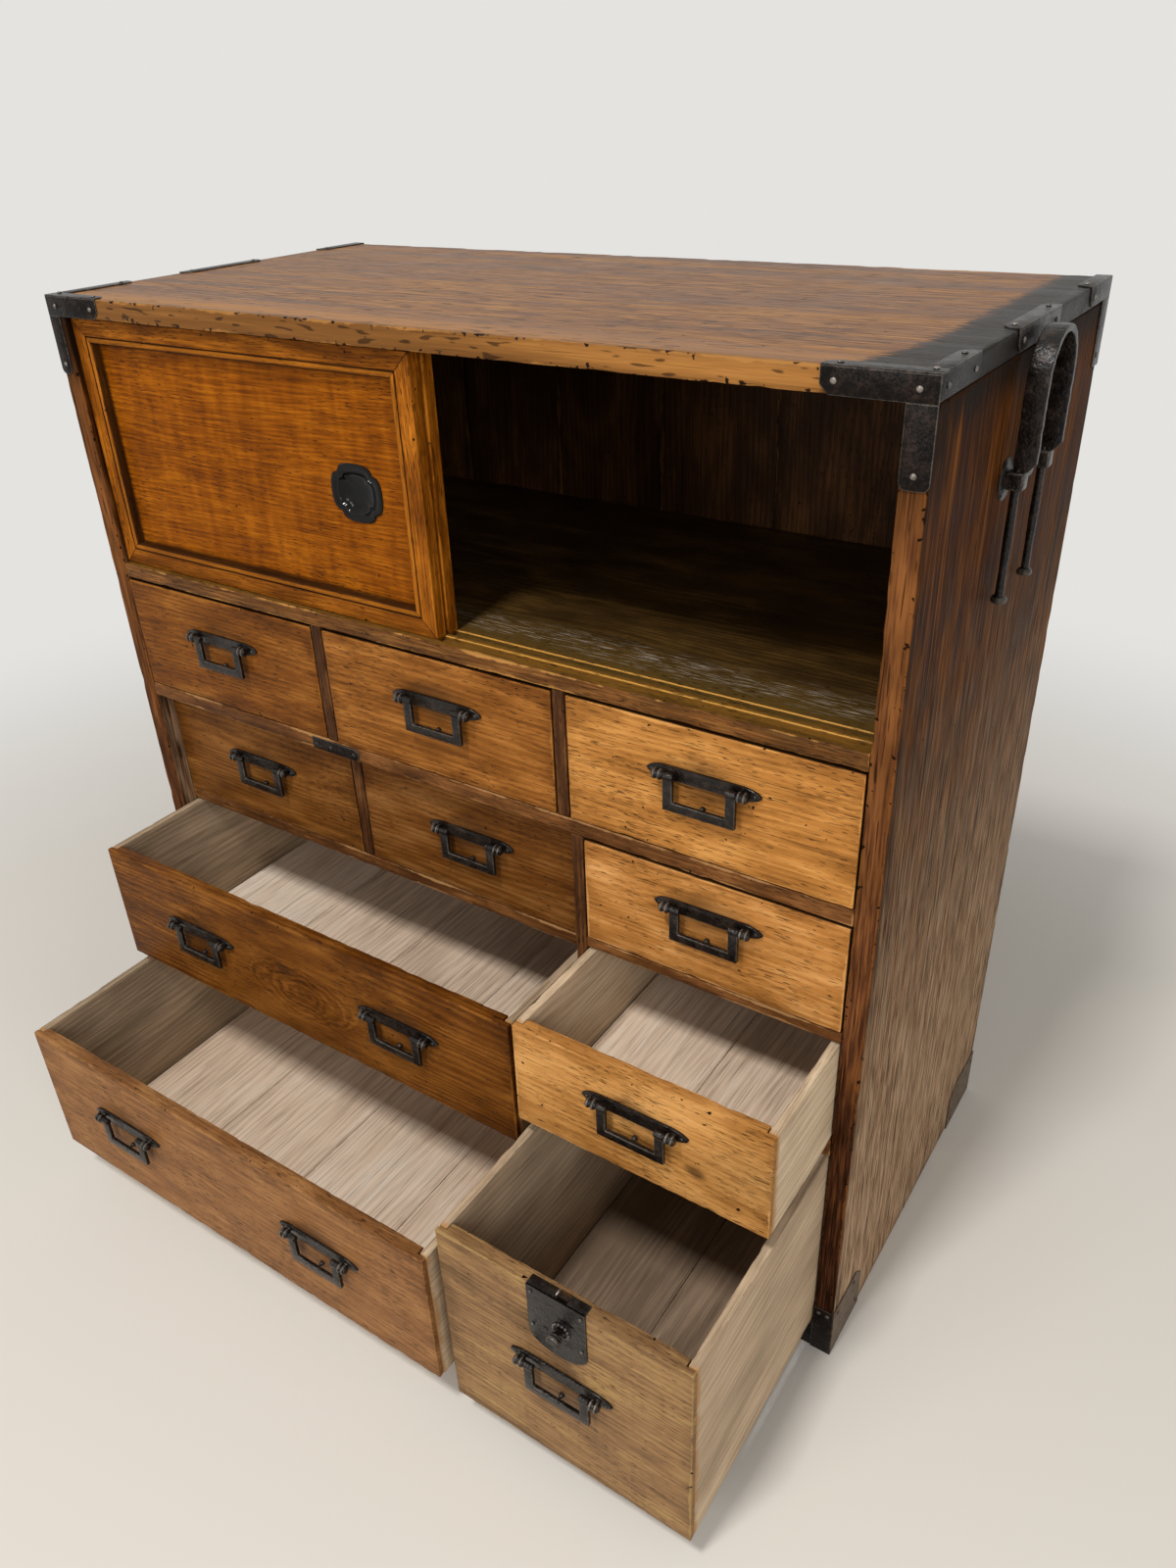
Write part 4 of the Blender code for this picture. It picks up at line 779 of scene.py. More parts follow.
# Painted shade: the rails' tones are a little darker than the stiles', for the top's shadow on the top rail.
DOOR_RAIL_WOOD = lacquered_wood("wiped_lacquer_door_rail", ("#4e2704", "#774109", "#9d5d17"), "X",
                                stain=mitred_frame, **DOOR_GRAIN)
DOOR_STILE_WOOD = lacquered_wood("wiped_lacquer_door_stile", ("#5e3005", "#8f500e", "#b9701e"), "Z",
                                 stain=mitred_frame, **DOOR_GRAIN)
TRAY_SIDE_WOOD = bare_wood("planed_paulownia_side", TRAY_TONES, "Y", stain_reach=0.012)
TRAY_BACK_WOOD = bare_wood("planed_paulownia_back", TRAY_TONES, "X")
TRAY_FLOOR_WOOD = bare_wood("planed_paulownia_floor", ("#b39b83", "#e4cab0", "#f3e3cf"), "Y")
DEEP_FLOOR_WOOD = bare_wood("planed_paulownia_brown", ("#7d6854", "#a68c73", "#c2a98d"), "Y")
FORGED_IRON = forged_iron("forged_iron_burnt_black", ("#070505", "#15100d", "#33271f"))
TRIM_IRON = forged_iron("sheet_iron_burnt_black", ("#070504", "#130e0b", "#2c211b"), shine=0.1,
                        worn="#9d948b")
FOOT_IRON = forged_iron("sheet_iron_dusty", ("#3a2d22", "#5d4c3d", "#7a6959"), rough=0.6, worn="#33271e")
LOCK_IRON = forged_iron("sheet_iron_burnt_grey", ("#0a0908", "#191614", "#302b28"), shine=0.2,
                        worn="#8a827a", chip=LOCK_CHIP)
BLACK_IRON = black_lacquered_iron("black_lacquered_iron")


# Modelling

def edit_mode():
    """Opens the active piece's mesh for editing."""
    bpy.ops.object.mode_set(mode="EDIT")


def object_mode():
    """Closes the active piece's mesh."""
    bpy.ops.object.mode_set(mode="OBJECT")


def let_go():
    """Leaves no piece selected."""
    bpy.ops.object.select_all(action="DESELECT")


def pick_all():
    """In edit mode, selects the whole mesh."""
    bpy.ops.mesh.select_all(action="SELECT")


def extrude(step):
    """In edit mode, draws the selection out by a step."""
    bpy.ops.mesh.extrude_region_move(TRANSFORM_OT_translate={"value": step})


def bevel(offset, segments):
    """In edit mode, bevels the selected edges."""
    bpy.ops.mesh.bevel(offset=offset, segments=segments, affect="EDGES")


def block(name, low, high):
    """A box between two corners, with its place in its mesh."""
    low, high = Vector(low), Vector(high)
    let_go()
    bpy.ops.mesh.primitive_cube_add(size=1, location=(low + high) / 2, scale=high - low)
    made = bpy.context.object
    made.name = name
    bpy.ops.object.transform_apply(location=True, rotation=True, scale=True)
    return made


def pick(piece, kind, wanted):
    """In edit mode, selects the points, edges or faces that the test says yes to."""
    bpy.ops.mesh.select_mode(type=kind)
    bpy.ops.mesh.select_all(action="DESELECT")
    shape = bmesh.from_edit_mesh(piece.data)
    shape.normal_update()
    for item in {"VERT": shape.verts, "EDGE": shape.edges, "FACE": shape.faces}[kind]:
        if wanted(item):
            item.select_set(True)
    shape.select_flush_mode()
    bmesh.update_edit_mesh(piece.data)


def cut(place, normal):
    """In edit mode, cuts new edges right round the piece where a plane crosses it."""
    pick_all()
    bpy.ops.mesh.bisect(plane_co=place, plane_no=normal)


def axis_normal(axis):
    """The unit vector along one axis."""
    return Vector([1.0 if other == axis else 0.0 for other in range(3)])


def smooth(piece, angle=35):
    """Shades a piece smooth across all but its sharp edges."""
    let_go()
    piece.select_set(True)
    bpy.context.view_layer.objects.active = piece
    bpy.ops.object.shade_smooth_by_angle(angle=math.radians(angle))


def note_board(piece, low, high):
    """Writes on a board's points where they lie on it, for the wear and the grain."""
    middle = (low + high) / 2
    half = (high - low) / 2
    shift = low * SHIFT_BY_LOW + high * SHIFT_BY_HIGH
    points = piece.data.vertices
    for name in ("from_middle", "half_size", "grain_shift"):
        if name in piece.data.attributes:
            piece.data.attributes.remove(piece.data.attributes[name])
    values = {"from_middle": [c for point in points for c in point.co - middle],
              "half_size": list(half) * len(points),
              "grain_shift": list(shift) * len(points)}
    for name, numbers in values.items():
        piece.data.attributes.new(name, "FLOAT_VECTOR", "POINT").data.foreach_set("vector", numbers)


def tilted(face):
    """True for a face of a bevelled edge."""
    return max(abs(c) for c in face.normal) < SQUARE_ON


def note_rubbed_and_glint(piece, is_rubbed_and_glinting, share=0.25):
    """Writes on a piece's faces how bright they are painted: metal rubbed bare by cloth and hands, and
    painted glints.
    """
    shares = [share if is_rubbed_and_glinting(face) else 0.0 for face in piece.data.polygons]
    piece.data.attributes.new("rubbed_and_glint", "FLOAT", "FACE").data.foreach_set("value", shares)


def wear(piece, low, high, chips=CHIP_DEPTH, arris=ARRIS, step=EDGE_STEP):
    """Rounds a board's edges and chips them along its length."""
    low, high = Vector(low), Vector(high)
    size = high - low
    long_axis = max(range(3), key=lambda axis: size[axis])
    edit_mode()
    for axis in range(3):
        if size[axis] > 3 * EDGE_MARGIN:
            for place in (low[axis] + EDGE_MARGIN, high[axis] - EDGE_MARGIN):
                cut(axis_normal(axis) * place, axis_normal(axis))

    def runs_long(edge):
        return abs(edge.verts[1].co[long_axis] - edge.verts[0].co[long_axis]) > 2 * step

    def on_box_edge(edge):
        first, second = (point.co for point in edge.verts)
        walls = 0
        for axis in range(3):
            for limit in (low[axis], high[axis]):
                walls += abs(first[axis] - limit) < TOUCH and abs(second[axis] - limit) < TOUCH
        return walls > 1

    pick(piece, "EDGE", runs_long)
    bpy.ops.mesh.subdivide(number_cuts=int(size[long_axis] / step))
    pick(piece, "EDGE", on_box_edge)
    bevel(arris, 2)
    object_mode()
    for point in piece.data.vertices:
        walls = []
        for axis in range(3):
            if point.co[axis] - low[axis] < 1.05 * arris:
                walls.append((axis, 1))
            elif high[axis] - point.co[axis] < 1.05 * arris:
                walls.append((axis, -1))
        if len(walls) > 1:
            knock = max(0.0, noise.noise(point.co / CHIP_LENGTH + low) - CHIP_RARITY)
            grit = abs(noise.noise(point.co / CHIP_GRAIN + high))
            for axis, inward in walls:
                point.co[axis] += inward * chips * (knock + CHIP_GRIT * grit)
    note_board(piece, low, high)
    smooth(piece)


def lumber(name, low, high, **sizes):
    """A sawn board with worn edges."""
    made = block(name, low, high)
    wear(made, low, high, **sizes)
    return made


def join(name, pieces):
    """Joins pieces into one object."""
    let_go()
    for piece in pieces:
        piece.select_set(True)
    bpy.context.view_layer.objects.active = pieces[0]
    bpy.ops.object.join()
    pieces[0].name = name
    return pieces[0]


def finish(piece, material, body, slot_name, *nodes):
    """Gives a piece its material, the body it moves with and the nodes it stands for."""
    if material:
        piece.data.materials.append(material)
    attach(piece, body)
    if nodes:
        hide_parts(*nodes)


def fitted(name, low, high, material, body, slot_name, node, **sizes):
    """A sawn board with worn edges, finished as a part of a node."""
    finish(lumber(name, low, high, **sizes), material, body, slot_name, node)


def ring_of(count, radius=1.0):
    """Points round a circle."""
    angles = [2 * math.pi * number / count for number in range(count)]
    return [(radius * math.cos(angle), radius * math.sin(angle)) for angle in angles]


def draw_up(name, outline, stations):
    """A closed form drawn up from an outline in XY: each station scales the outline and sets its height."""
    scale, height = stations[0]
    let_go()
    bpy.ops.mesh.primitive_circle_add(vertices=len(outline), radius=1.0, fill_type="NGON")
    made = bpy.context.object
    made.name = name
    for point, (x, y) in zip(made.data.vertices, outline):
        point.co = (scale * x, scale * y, height)
    edit_mode()
    pick_all()
    for new_scale, new_height in stations[1:]:
        extrude((0, 0, new_height - height))
        grow = new_scale / scale
        bpy.ops.transform.resize(value=(grow, grow, 1), center_override=(0, 0, new_height))
        scale, height = new_scale, new_height
    pick_all()
    bpy.ops.mesh.normals_make_consistent(inside=False)
    object_mode()
    smooth(made)
    return made


def copy_to(pattern, name, place):
    """A copy of a pattern piece with its own mesh, moved by a matrix."""
    made = pattern.copy()
    made.data = pattern.data.copy()
    made.data.transform(place)
    made.name = name
    bpy.context.collection.objects.link(made)
    return made


def placed(piece, place, turn=FACING_UP):
    """Turns a piece that lies in XY and moves it to its place."""
    piece.data.transform(Matrix.Translation(place) @ turn)
    return piece


def carve(piece, cutter):
    """Takes a cutter's form out of a piece."""
    hole = piece.modifiers.new("hole", "BOOLEAN")
    hole.object = cutter
    bpy.context.view_layer.objects.active = piece
    bpy.ops.object.modifier_apply(modifier=hole.name)
    bpy.data.objects.remove(cutter)


def drill(piece, place, turn, radius, below, above, points=20):
    """Takes a round hole out of a piece, from below its place to above it."""
    bit = draw_up("bit", ring_of(points), [(radius, -below), (radius, above)])
    carve(piece, placed(bit, place, turn))


def round_edges(offset, segments):
    """Bevels all edges of the active piece."""
    edit_mode()
    pick_all()
    bevel(offset, segments)
    object_mode()


def domed_nail(radius, height, bright=0.2):
    """A forged nail's head, lying in XY with its dome up, painted more or less bright: rubbed metal and a
    painted glint.
    """
    stations = [(radius, -SUNK)] + [(radius * scale, height * rise) for scale, rise in NAIL_DOME]
    nail = draw_up("nail", ring_of(14), stations)
    note_rubbed_and_glint(nail, lambda face: face.center.z > 0.3 * height, bright)
    return nail


# Carcass

def track_cuts(piece, level, depth, end_gap):
    """Sinks the two door tracks into a board's face, from the doors' own places."""
    bays = []
    for node in ("front_door", "rear_door"):
        low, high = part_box(node)
        bays.append((low.y + TRACK_INSET, high.y - TRACK_INSET))
    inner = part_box("right_side")[0].x - end_gap
    edit_mode()
    for start, end in bays:
        for y in (start, end):
            cut((0, y, 0), (0, 1, 0))
    for x in (-inner, inner):
        cut((x, 0, 0), (1, 0, 0))

    def in_track(face):
        middle = face.calc_center_median()
        in_bay = any(start < middle.y < end for start, end in bays)
        return abs(middle.z - level) < TOUCH and abs(middle.x) < inner and in_bay

    pick(piece, "FACE", in_track)
    extrude((0, 0, depth))

    def on_arris(edge):
        first, second = (point.co for point in edge.verts)
        level_edge = abs(first.z - level) < TOUCH and abs(second.z - level) < TOUCH
        at_bay = any(abs(first.y - y) < TOUCH and abs(second.y - y) < TOUCH for bay in bays for y in bay)
        return level_edge and at_bay and edge.calc_face_angle(0) > 1.0

    pick(piece, "EDGE", on_arris)
    bevel(TRACK_ARRIS, 1)
    object_mode()


def carcass():
    """The boards of the case."""
    for node, face, depth, end_gap, material, slot_name in (
            ("top_board", 0, TOP_TRACK_DEPTH, 0.0, TOP_WOOD, "top_wood"),
            ("door_shelf", 1, -TRACK_DEPTH, TRACK_END_GAP, SHELF_WOOD, "inner_wood")):
        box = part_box(node)
        board = block(node + "_planed", *box)
        track_cuts(board, box[face].z, depth, end_gap)
        wear(board, *box)
        finish(board, material, CARCASS, slot_name, node)

    plain = {"left_side": SIDE_WOOD, "right_side": SIDE_WOOD, "second_row_divider": UPRIGHT_WOOD,
             "tall_divider": UPRIGHT_WOOD, "left_lower_rail": RAIL_WOOD, "left_upper_rail": RAIL_WOOD,
             "right_upper_rail": RAIL_WOOD, "right_lower_rail": RAIL_WOOD}
    for node, material in plain.items():
        slot_name = "inner_wood" if node == "second_row_divider" else "carcass_wood"
        fitted(node + "_planed", *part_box(node), material, CARCASS, slot_name, node)

    row_rail()
    base()
    back_boards()


def row_rail():
    """The board between the drawer rows, with the first row's two uprights."""
    low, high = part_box("row_rail")
    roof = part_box("second_row_divider")[1].z + JOINT_GAP + ROW_RAIL_THICKNESS
    fitted("row_rail_planed", low, (high.x, high.y, roof), RAIL_WOOD, CARCASS, "carcass_wood", "row_rail")
    for left, right in (("top_left", "top_middle"), ("top_middle", "top_right")):
        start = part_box("drawer_" + left)[1].x + DRAWER_SIDE_PLAY
        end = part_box("drawer_" + right)[0].x - DRAWER_SIDE_PLAY
        fitted("upright_after_" + left, (start, low.y, roof), (end, high.y, high.z), UPRIGHT_WOOD, CARCASS,
               "carcass_wood", "row_rail")


def base():
    """The sill along the front, the bottom board behind it and the raised floor of the lower left bay."""
    low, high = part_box("bottom_board")
    sill_back = low.y + SILL_THICKNESS
    bay_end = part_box("tall_divider")[0].x - JOINT_GAP
    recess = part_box("left_lower_rail")[0].y
    boarding = (low.x, sill_back, BASE_TOP - BASE_BOARD)
    for name, start, end, material in (
            ("front_sill", low, (high.x, sill_back, BASE_TOP), RAIL_WOOD),
            ("bottom_boarding", boarding, (high.x, high.y, BASE_TOP), SHELF_WOOD),
            ("left_bay_floor", (low.x, recess, BASE_TOP), (bay_end, high.y, high.z), RAIL_WOOD)):
        fitted(name, start, end, material, CARCASS, "carcass_wood", "bottom_board")


def back_boards():
    """Upright boards that close the back."""
    low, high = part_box("back_panel")
    width = (high.x - low.x) / BACK_BOARDS
    for number in range(BACK_BOARDS):
        start = low.x + number * width
        fitted("back_board_%d" % (number + 1), (start, low.y, low.z), (start + width, high.y, high.z),
               BACK_WOOD, CARCASS, "inner_wood", "back_panel")


# Drawers

def drawer(name):
    """A drawer: a lapped front and an open tray of bare boards."""
    node = "drawer_" + name
    body = name + "_drawer"
    low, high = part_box(node)
    low.x += FRONT_PLAY
    high.x -= FRONT_PLAY
    front_low = Vector((low.x, low.y, low.z + FRONT_PLAY))
    drop = FRONT_DROP if name.startswith(CLOSED_ROWS) else 0.0
    front_high = Vector((high.x, low.y + FRONT_THICKNESS, high.z - FRONT_PLAY - drop))
    front = block(name + "_front", (low.x + TRAY_WALL, low.y, front_low.z),
                  (high.x - TRAY_WALL, front_high.y, front_high.z))
    edit_mode()
    lip = low.y + FRONT_LIP
    cut((0, lip, 0), (0, 1, 0))
    for side in (-1, 1):
        pick(front, "FACE", lambda face: face.normal.x * side > 0.9 and face.calc_center_median().y < lip)
        extrude((side * TRAY_WALL, 0, 0))
    object_mode()
    wear(front, front_low, front_high)
    if name == "deep":
        lock_cuts(front)
        note_board(front, front_low, front_high)
        smooth(front)
    finish(front, WOODS[name], body, "drawer_wood", node)

    roof = front_high.z - TRAY_BELOW_FRONT
    sides = []
    for start in (low.x, high.x - TRAY_WALL + LAP_SEAM):
        sides.append(lumber("tray_side", (start, lip + LAP_SEAM, low.z),
                            (start + TRAY_WALL - LAP_SEAM, high.y, roof), chips=TRAY_CHIPS))
    sides = join(name + "_tray_sides", sides)
    finish(sides, TRAY_SIDE_WOOD, body, "drawer_wood", node)
    inner_low, inner_high = low.x + TRAY_WALL, high.x - TRAY_WALL
    fitted(name + "_tray_back", (inner_low, high.y - TRAY_WALL, low.z), (inner_high, high.y, roof),
           TRAY_BACK_WOOD, body, "drawer_wood", node, chips=TRAY_CHIPS)
    count = max(2, round((inner_high - inner_low) / PLANK_WIDTH))
    width = (inner_high - inner_low) / count
    planks = []
    for number in range(count):
        start = inner_low + number * width
        planks.append(lumber("plank", (start + PLANK_SEAM / 2, front_high.y, low.z),
                             (start + width - PLANK_SEAM / 2, high.y - TRAY_WALL, low.z + TRAY_FLOOR),
                             chips=PLANK_CHIPS, arris=THIN_ARRIS))
    planks = join(name + "_tray_floor", planks)
    finish(planks, DEEP_FLOOR_WOOD if name == "deep" else TRAY_FLOOR_WOOD, body, "drawer_wood", node)


# Sliding doors and their finger pulls

def pull_outline(width, height):
    """A rounded oblong with four shallow notches at its diagonals."""
    points = []
    for number in range(PULL_POINTS):
        angle = 2 * math.pi * number / PULL_POINTS
        across, up = math.cos(angle), math.sin(angle)
        reach = (abs(across) ** PULL_SQUARENESS + abs(up) ** PULL_SQUARENESS) ** (-1 / PULL_SQUARENESS)
        off_diagonal = (angle % (math.pi / 2)) - math.pi / 4
        reach *= 1 - PULL_NOTCH * math.exp(-(off_diagonal / PULL_NOTCH_TURN) ** 2)
        points.append((reach * across * width / 2, reach * up * height / 2))
    return points


def sliding_door(node, body, pull_node):
    """A moulded frame round a sunk panel, with its finger pull."""
    low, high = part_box(node)
    body_low = Vector((low.x, low.y, low.z + DOOR_BOTTOM_TONGUE))
    body_high = Vector((high.x, high.y, high.z - DOOR_TOP_TONGUE))
    door = block(node + "_moulded", body_low, body_high)
    edit_mode()
    pick(door, "FACE", lambda face: face.normal.y < -0.9)
    for width, rise in DOOR_FRAME_STEPS:
        bpy.ops.mesh.inset(thickness=width, depth=rise, use_even_offset=True)

    def on_wall(point, axis):
        return min(abs(point.co[axis] - body_low[axis]), abs(point.co[axis] - body_high[axis])) < TOUCH

    def on_outer_edge(edge):
        on_face = all(on_wall(point, 1) for point in edge.verts)
        at_rim = any(on_wall(point, 0) or on_wall(point, 2) for point in edge.verts)
        return edge.calc_face_angle(0) > 1.5 and on_face and at_rim

    pick(door, "EDGE", on_outer_edge)
    bevel(ARRIS, 2)
    object_mode()

    pull_low, pull_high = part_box(pull_node)
    middle = (pull_low + pull_high) / 2
    outline = pull_outline(pull_high.x - pull_low.x, pull_high.z - pull_low.z)
    place = (middle.x, pull_high.y, middle.z)
    cutter = draw_up("pull_cutter", outline, [(PULL_HOLE, -PULL_CUT), (PULL_HOLE, PULL_CUT)])
    carve(door, placed(cutter, place, FACING_FRONT))

    for material in (DOOR_PANEL_WOOD, DOOR_RAIL_WOOD, DOOR_STILE_WOOD):
        door.data.materials.append(material)
    centre, half = (body_low + body_high) / 2, (body_high - body_low) / 2
    for face in door.data.polygons:
        across = half.x - abs(face.center.x - centre.x)
        up = half.z - abs(face.center.z - centre.z)
        if min(across, up) < DOOR_FRAME_WIDTH:
            face.material_index = 1 if up < across else 2
    note_board(door, body_low, body_high)
    smooth(door, 20)

    tongues = []
    for start, end in ((low.z, body_low.z + DOOR_TONGUE_ROOT), (body_high.z - DOOR_TONGUE_ROOT, high.z)):
        tongues.append(lumber("tongue", (low.x + DOOR_TONGUE_INSET, low.y + DOOR_TONGUE_SHOULDER, start),
                              (high.x - DOOR_TONGUE_INSET, high.y - DOOR_TONGUE_SHOULDER, end),
                              chips=DOOR_TONGUE_CHIPS, arris=THIN_ARRIS))
    tongue = join(node + "_tongues", tongues)
    finish(tongue, DOOR_RAIL_WOOD, body, "door_wood", node)
    finish(door, None, body, "door_wood", node)

    pull = placed(draw_up(pull_node + "_dished", outline, PULL_STATIONS), place, FACING_FRONT)
    finish(pull, BLACK_IRON, body, "black_iron", pull_node)


# Drawer handles

def spool_stations():
    """Ring after ring along a spool, between its two ends."""
    pitch = SPOOL_LENGTH / SPOOL_RINGS
    stations = [(SPOOL_RADIUS * 0.9, 0.0)]
    for ring in range(SPOOL_RINGS):
        stations += [(radius, (ring + share) * pitch) for radius, share in SPOOL_PROFILE]
    return stations + [(SPOOL_RADIUS * 0.8, SPOOL_LENGTH)]


def handle_plate():
    """The back plate with lance-shaped ends, its two ringed spools and its nails, about the bail's axis."""
    straight = PLATE_LENGTH / 2 - PLATE_NOSE
    half = PLATE_HEIGHT / 2
    nose = [(straight + PLATE_NOSE * math.sin(angle), half * math.cos(angle) ** NOSE_POWER)
            for angle in (math.radians(degrees) for degrees in range(0, 90, 9))]
    quarter = nose + [(PLATE_LENGTH / 2, 0.0)]
    right = [(x, -z) for x, z in quarter] + [(x, z) for x, z in reversed(quarter[:-1])]
    outline = right + [(-x, -z) for x, z in right]
    back = HANDLE_STANDOFF - PLATE_BACK
    plate = draw_up("handle_plate", outline, [(1.0, 0.0), (1.0, PLATE_THICKNESS - PLATE_EDGE),
                                              (0.97, PLATE_THICKNESS)])
    placed(plate, (0, back, 0), FACING_FRONT)
    parts = [plate]
    for side, turn in FACING_SIDE.items():
        start = side * (BAIL_WIDTH / 2 + SPOOL_GAP)
        spool = draw_up("spool", ring_of(16), spool_stations())
        # Painted glints and rubbed metal on the spools' rings.
        note_rubbed_and_glint(spool, lambda face: math.hypot(face.center.x, face.center.y) > 0.93 * SPOOL_RING, 0.5)
        placed(spool, (start, 0, 0), turn)
        middle = start + side * SPOOL_LENGTH / 2
        post = draw_up("spool_post", ring_of(12), [(SPOOL_POST, 0), (SPOOL_POST * 0.8, POST_FOOT),
                                                   (SPOOL_POST * 0.8, POST_LENGTH)])
        placed(post, (middle, back - PLATE_THICKNESS + SUNK, 0), FACING_FRONT)
        nail = domed_nail(TIP_NAIL_RADIUS, TIP_NAIL_HEIGHT)
        tip = side * (PLATE_LENGTH / 2 - TIP_NAIL_IN)
        placed(nail, (tip, back - PLATE_THICKNESS, 0), FACING_FRONT)
        parts += [spool, post, nail]
    strike = domed_nail(STRIKE_NAIL_RADIUS, STRIKE_NAIL_HEIGHT, 0.05)
    placed(strike, (0, HANDLE_STANDOFF, -STRIKE_NAIL_BELOW), FACING_FRONT)
    return join("handle_plate_pattern", parts + [strike])


def square_bail():
    """The square bail that hangs from two round knuckles, about its axis."""
    half = BAIL_WIDTH / 2
    inner = half - BAIL_ARM
    bar_top = -BAIL_DROP + BAIL_BAR
    bail = block("bail", (-half, -BAIL_THICKNESS / 2, -BAIL_DROP), (half, BAIL_THICKNESS / 2, bar_top))
    edit_mode()
    for x in (-inner, inner):
        cut((x, 0, 0), (1, 0, 0))
    pick(bail, "FACE", lambda face: face.normal.z > 0.9 and abs(face.calc_center_median().x) > inner)
    extrude((0, 0, -bar_top))
    pick(bail, "EDGE", lambda edge: edge.calc_face_angle(0) > 1.0)
    bevel(BAIL_EDGE, 2)
    object_mode()
    note_rubbed_and_glint(bail, tilted)
    smooth(bail)
    parts = [bail]
    for side, turn in FACING_SIDE.items():
        length = BAIL_ARM + KNUCKLE_PROUD
        knuckle = draw_up("knuckle", ring_of(16), [
            (KNUCKLE_RADIUS * 0.85, 0.0), (KNUCKLE_RADIUS, KNUCKLE_EDGE),
            (KNUCKLE_RADIUS, length - KNUCKLE_EDGE), (KNUCKLE_RADIUS * 0.85, length), (PIN_RADIUS, length),
            (PIN_RADIUS, length + PIN_LENGTH)])
        parts.append(placed(knuckle, (side * (inner - KNUCKLE_PROUD), 0, 0), turn))
    return join("bail_pattern", parts)


def handles():
    """A plate and a bail wherever the frame has them, each on its own body."""
    plate_pattern, bail_pattern = handle_plate(), square_bail()
    for joint in frame["joints"]:
        if joint["name"].endswith(BAIL_JOINT):
            label = joint["name"][:-len(BAIL_JOINT)]
            place = Matrix.Translation(joint["pos_m"])
            plate = copy_to(plate_pattern, "handle_plate_" + label, place)
            finish(plate, FORGED_IRON, joint["parent"], "forged_iron", "plate_" + label)
            bail = copy_to(bail_pattern, "handle_bail_" + label, place)
            finish(bail, FORGED_IRON, joint["child"], "forged_iron", "bail_" + label)
    bpy.data.objects.remove(plate_pattern)
    bpy.data.objects.remove(bail_pattern)


# Carrying handles

def hammer(piece):
    """Leaves hammer marks on forged iron by moving its points a little, the same ones on each run."""
    noise.seed_set(HAMMER_SEED)
    for point in piece.data.vertices:
        point.co += noise.noise_vector(point.co / HAMMER_MARK) * HAMMER_DEPTH


def carrying_handle(side_name, side):
    """A flat strap bent into an arch whose ends are drawn out into rods with stop heads."""
    node = "carrying_handle_" + side_name
    low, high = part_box(node)
    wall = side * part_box("right_side")[1].x
    middle_y = (low.y + high.y) / 2
    eye_low, eye_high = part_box("carry_eye_%s_front" % side_name)
    eye_middle = (eye_low.z + eye_high.z) / 2
    shoulder = eye_middle + CARRY_EYE_HEIGHT / 2 + CARRY_GAP
    spring = high.z - CARRY_SPAN / 2 - CARRY_STRAP_THICKNESS / 2
    wall_side = CARRY_STANDOFF - CARRY_ROD_RADIUS
    start = Vector((wall_side + CARRY_STRAP_END / 2, -CARRY_SPAN / 2, shoulder))
    let_go()
    bpy.ops.mesh.primitive_plane_add(size=1, location=(0, 0, 0))
    strap = bpy.context.object
    strap.name = node + "_forged"
    for point in strap.data.vertices:
        point.co.x = point.co.x * CARRY_STRAP_END + start.x
        point.co.y = point.co.y * CARRY_STRAP_THICKNESS + start.y
        point.co.z = start.z
    edit_mode()
    pick_all()
    bpy.ops.mesh.bevel(offset=CARRY_EDGE, segments=2, affect="VERTICES")
    pick_all()
    grow = CARRY_STRAP_WIDTH / CARRY_STRAP_END
    straight = (spring - shoulder - CARRY_SHOULDER) / STRAP_STEPS
    extrude((0, 0, CARRY_SHOULDER))
    bpy.ops.transform.resize(value=(grow, 1, 1), center_override=(wall_side, 0, 0))
    for number in range(STRAP_STEPS):
        extrude((0, 0, straight))
    bpy.ops.mesh.spin(steps=ARCH_STEPS, angle=math.pi, center=(0, 0, spring), axis=(1, 0, 0))
    for number in range(STRAP_STEPS):
        extrude((0, 0, -straight))
    extrude((0, 0, -CARRY_SHOULDER))
    bpy.ops.transform.resize(value=(1 / grow, 1, 1), center_override=(wall_side, 0, 0))
    pick_all()
    bpy.ops.mesh.remove_doubles(threshold=TOUCH)
    bpy.ops.mesh.normals_make_consistent(inside=False)
    object_mode()
    smooth(strap, 25)
    parts = [strap]
    stop_top = low.z + STOP_HEAD_HEIGHT
    stations = [(STOP_HEAD_RADIUS * scale, low.z + rise) for scale, rise in STOP_HEAD_STATIONS]
    stations += [(CARRY_ROD_RADIUS * scale, stop_top + rise) for scale, rise in ROD_STATIONS]
    stations += [(CARRY_ROD_RADIUS, shoulder), (CARRY_ROD_RADIUS * 0.9, shoulder + ROD_ROOT)]
    for y in (-CARRY_SPAN / 2, CARRY_SPAN / 2):
        rod = draw_up("rod", ring_of(16), stations)
        note_rubbed_and_glint(rod, lambda face: math.hypot(face.center.x, face.center.y) > 0.85 * STOP_HEAD_RADIUS)
        parts.append(placed(rod, (CARRY_STANDOFF, y, 0)))
    handle = join(node + "_forged", parts)
    hammer(handle)
    turn = Matrix.Rotation(math.pi, 4, "Z") if side < 0 else FACING_UP
    placed(handle, (wall, middle_y, 0), turn)
    finish(handle, FORGED_IRON, node + "_loop", "forged_iron", node)


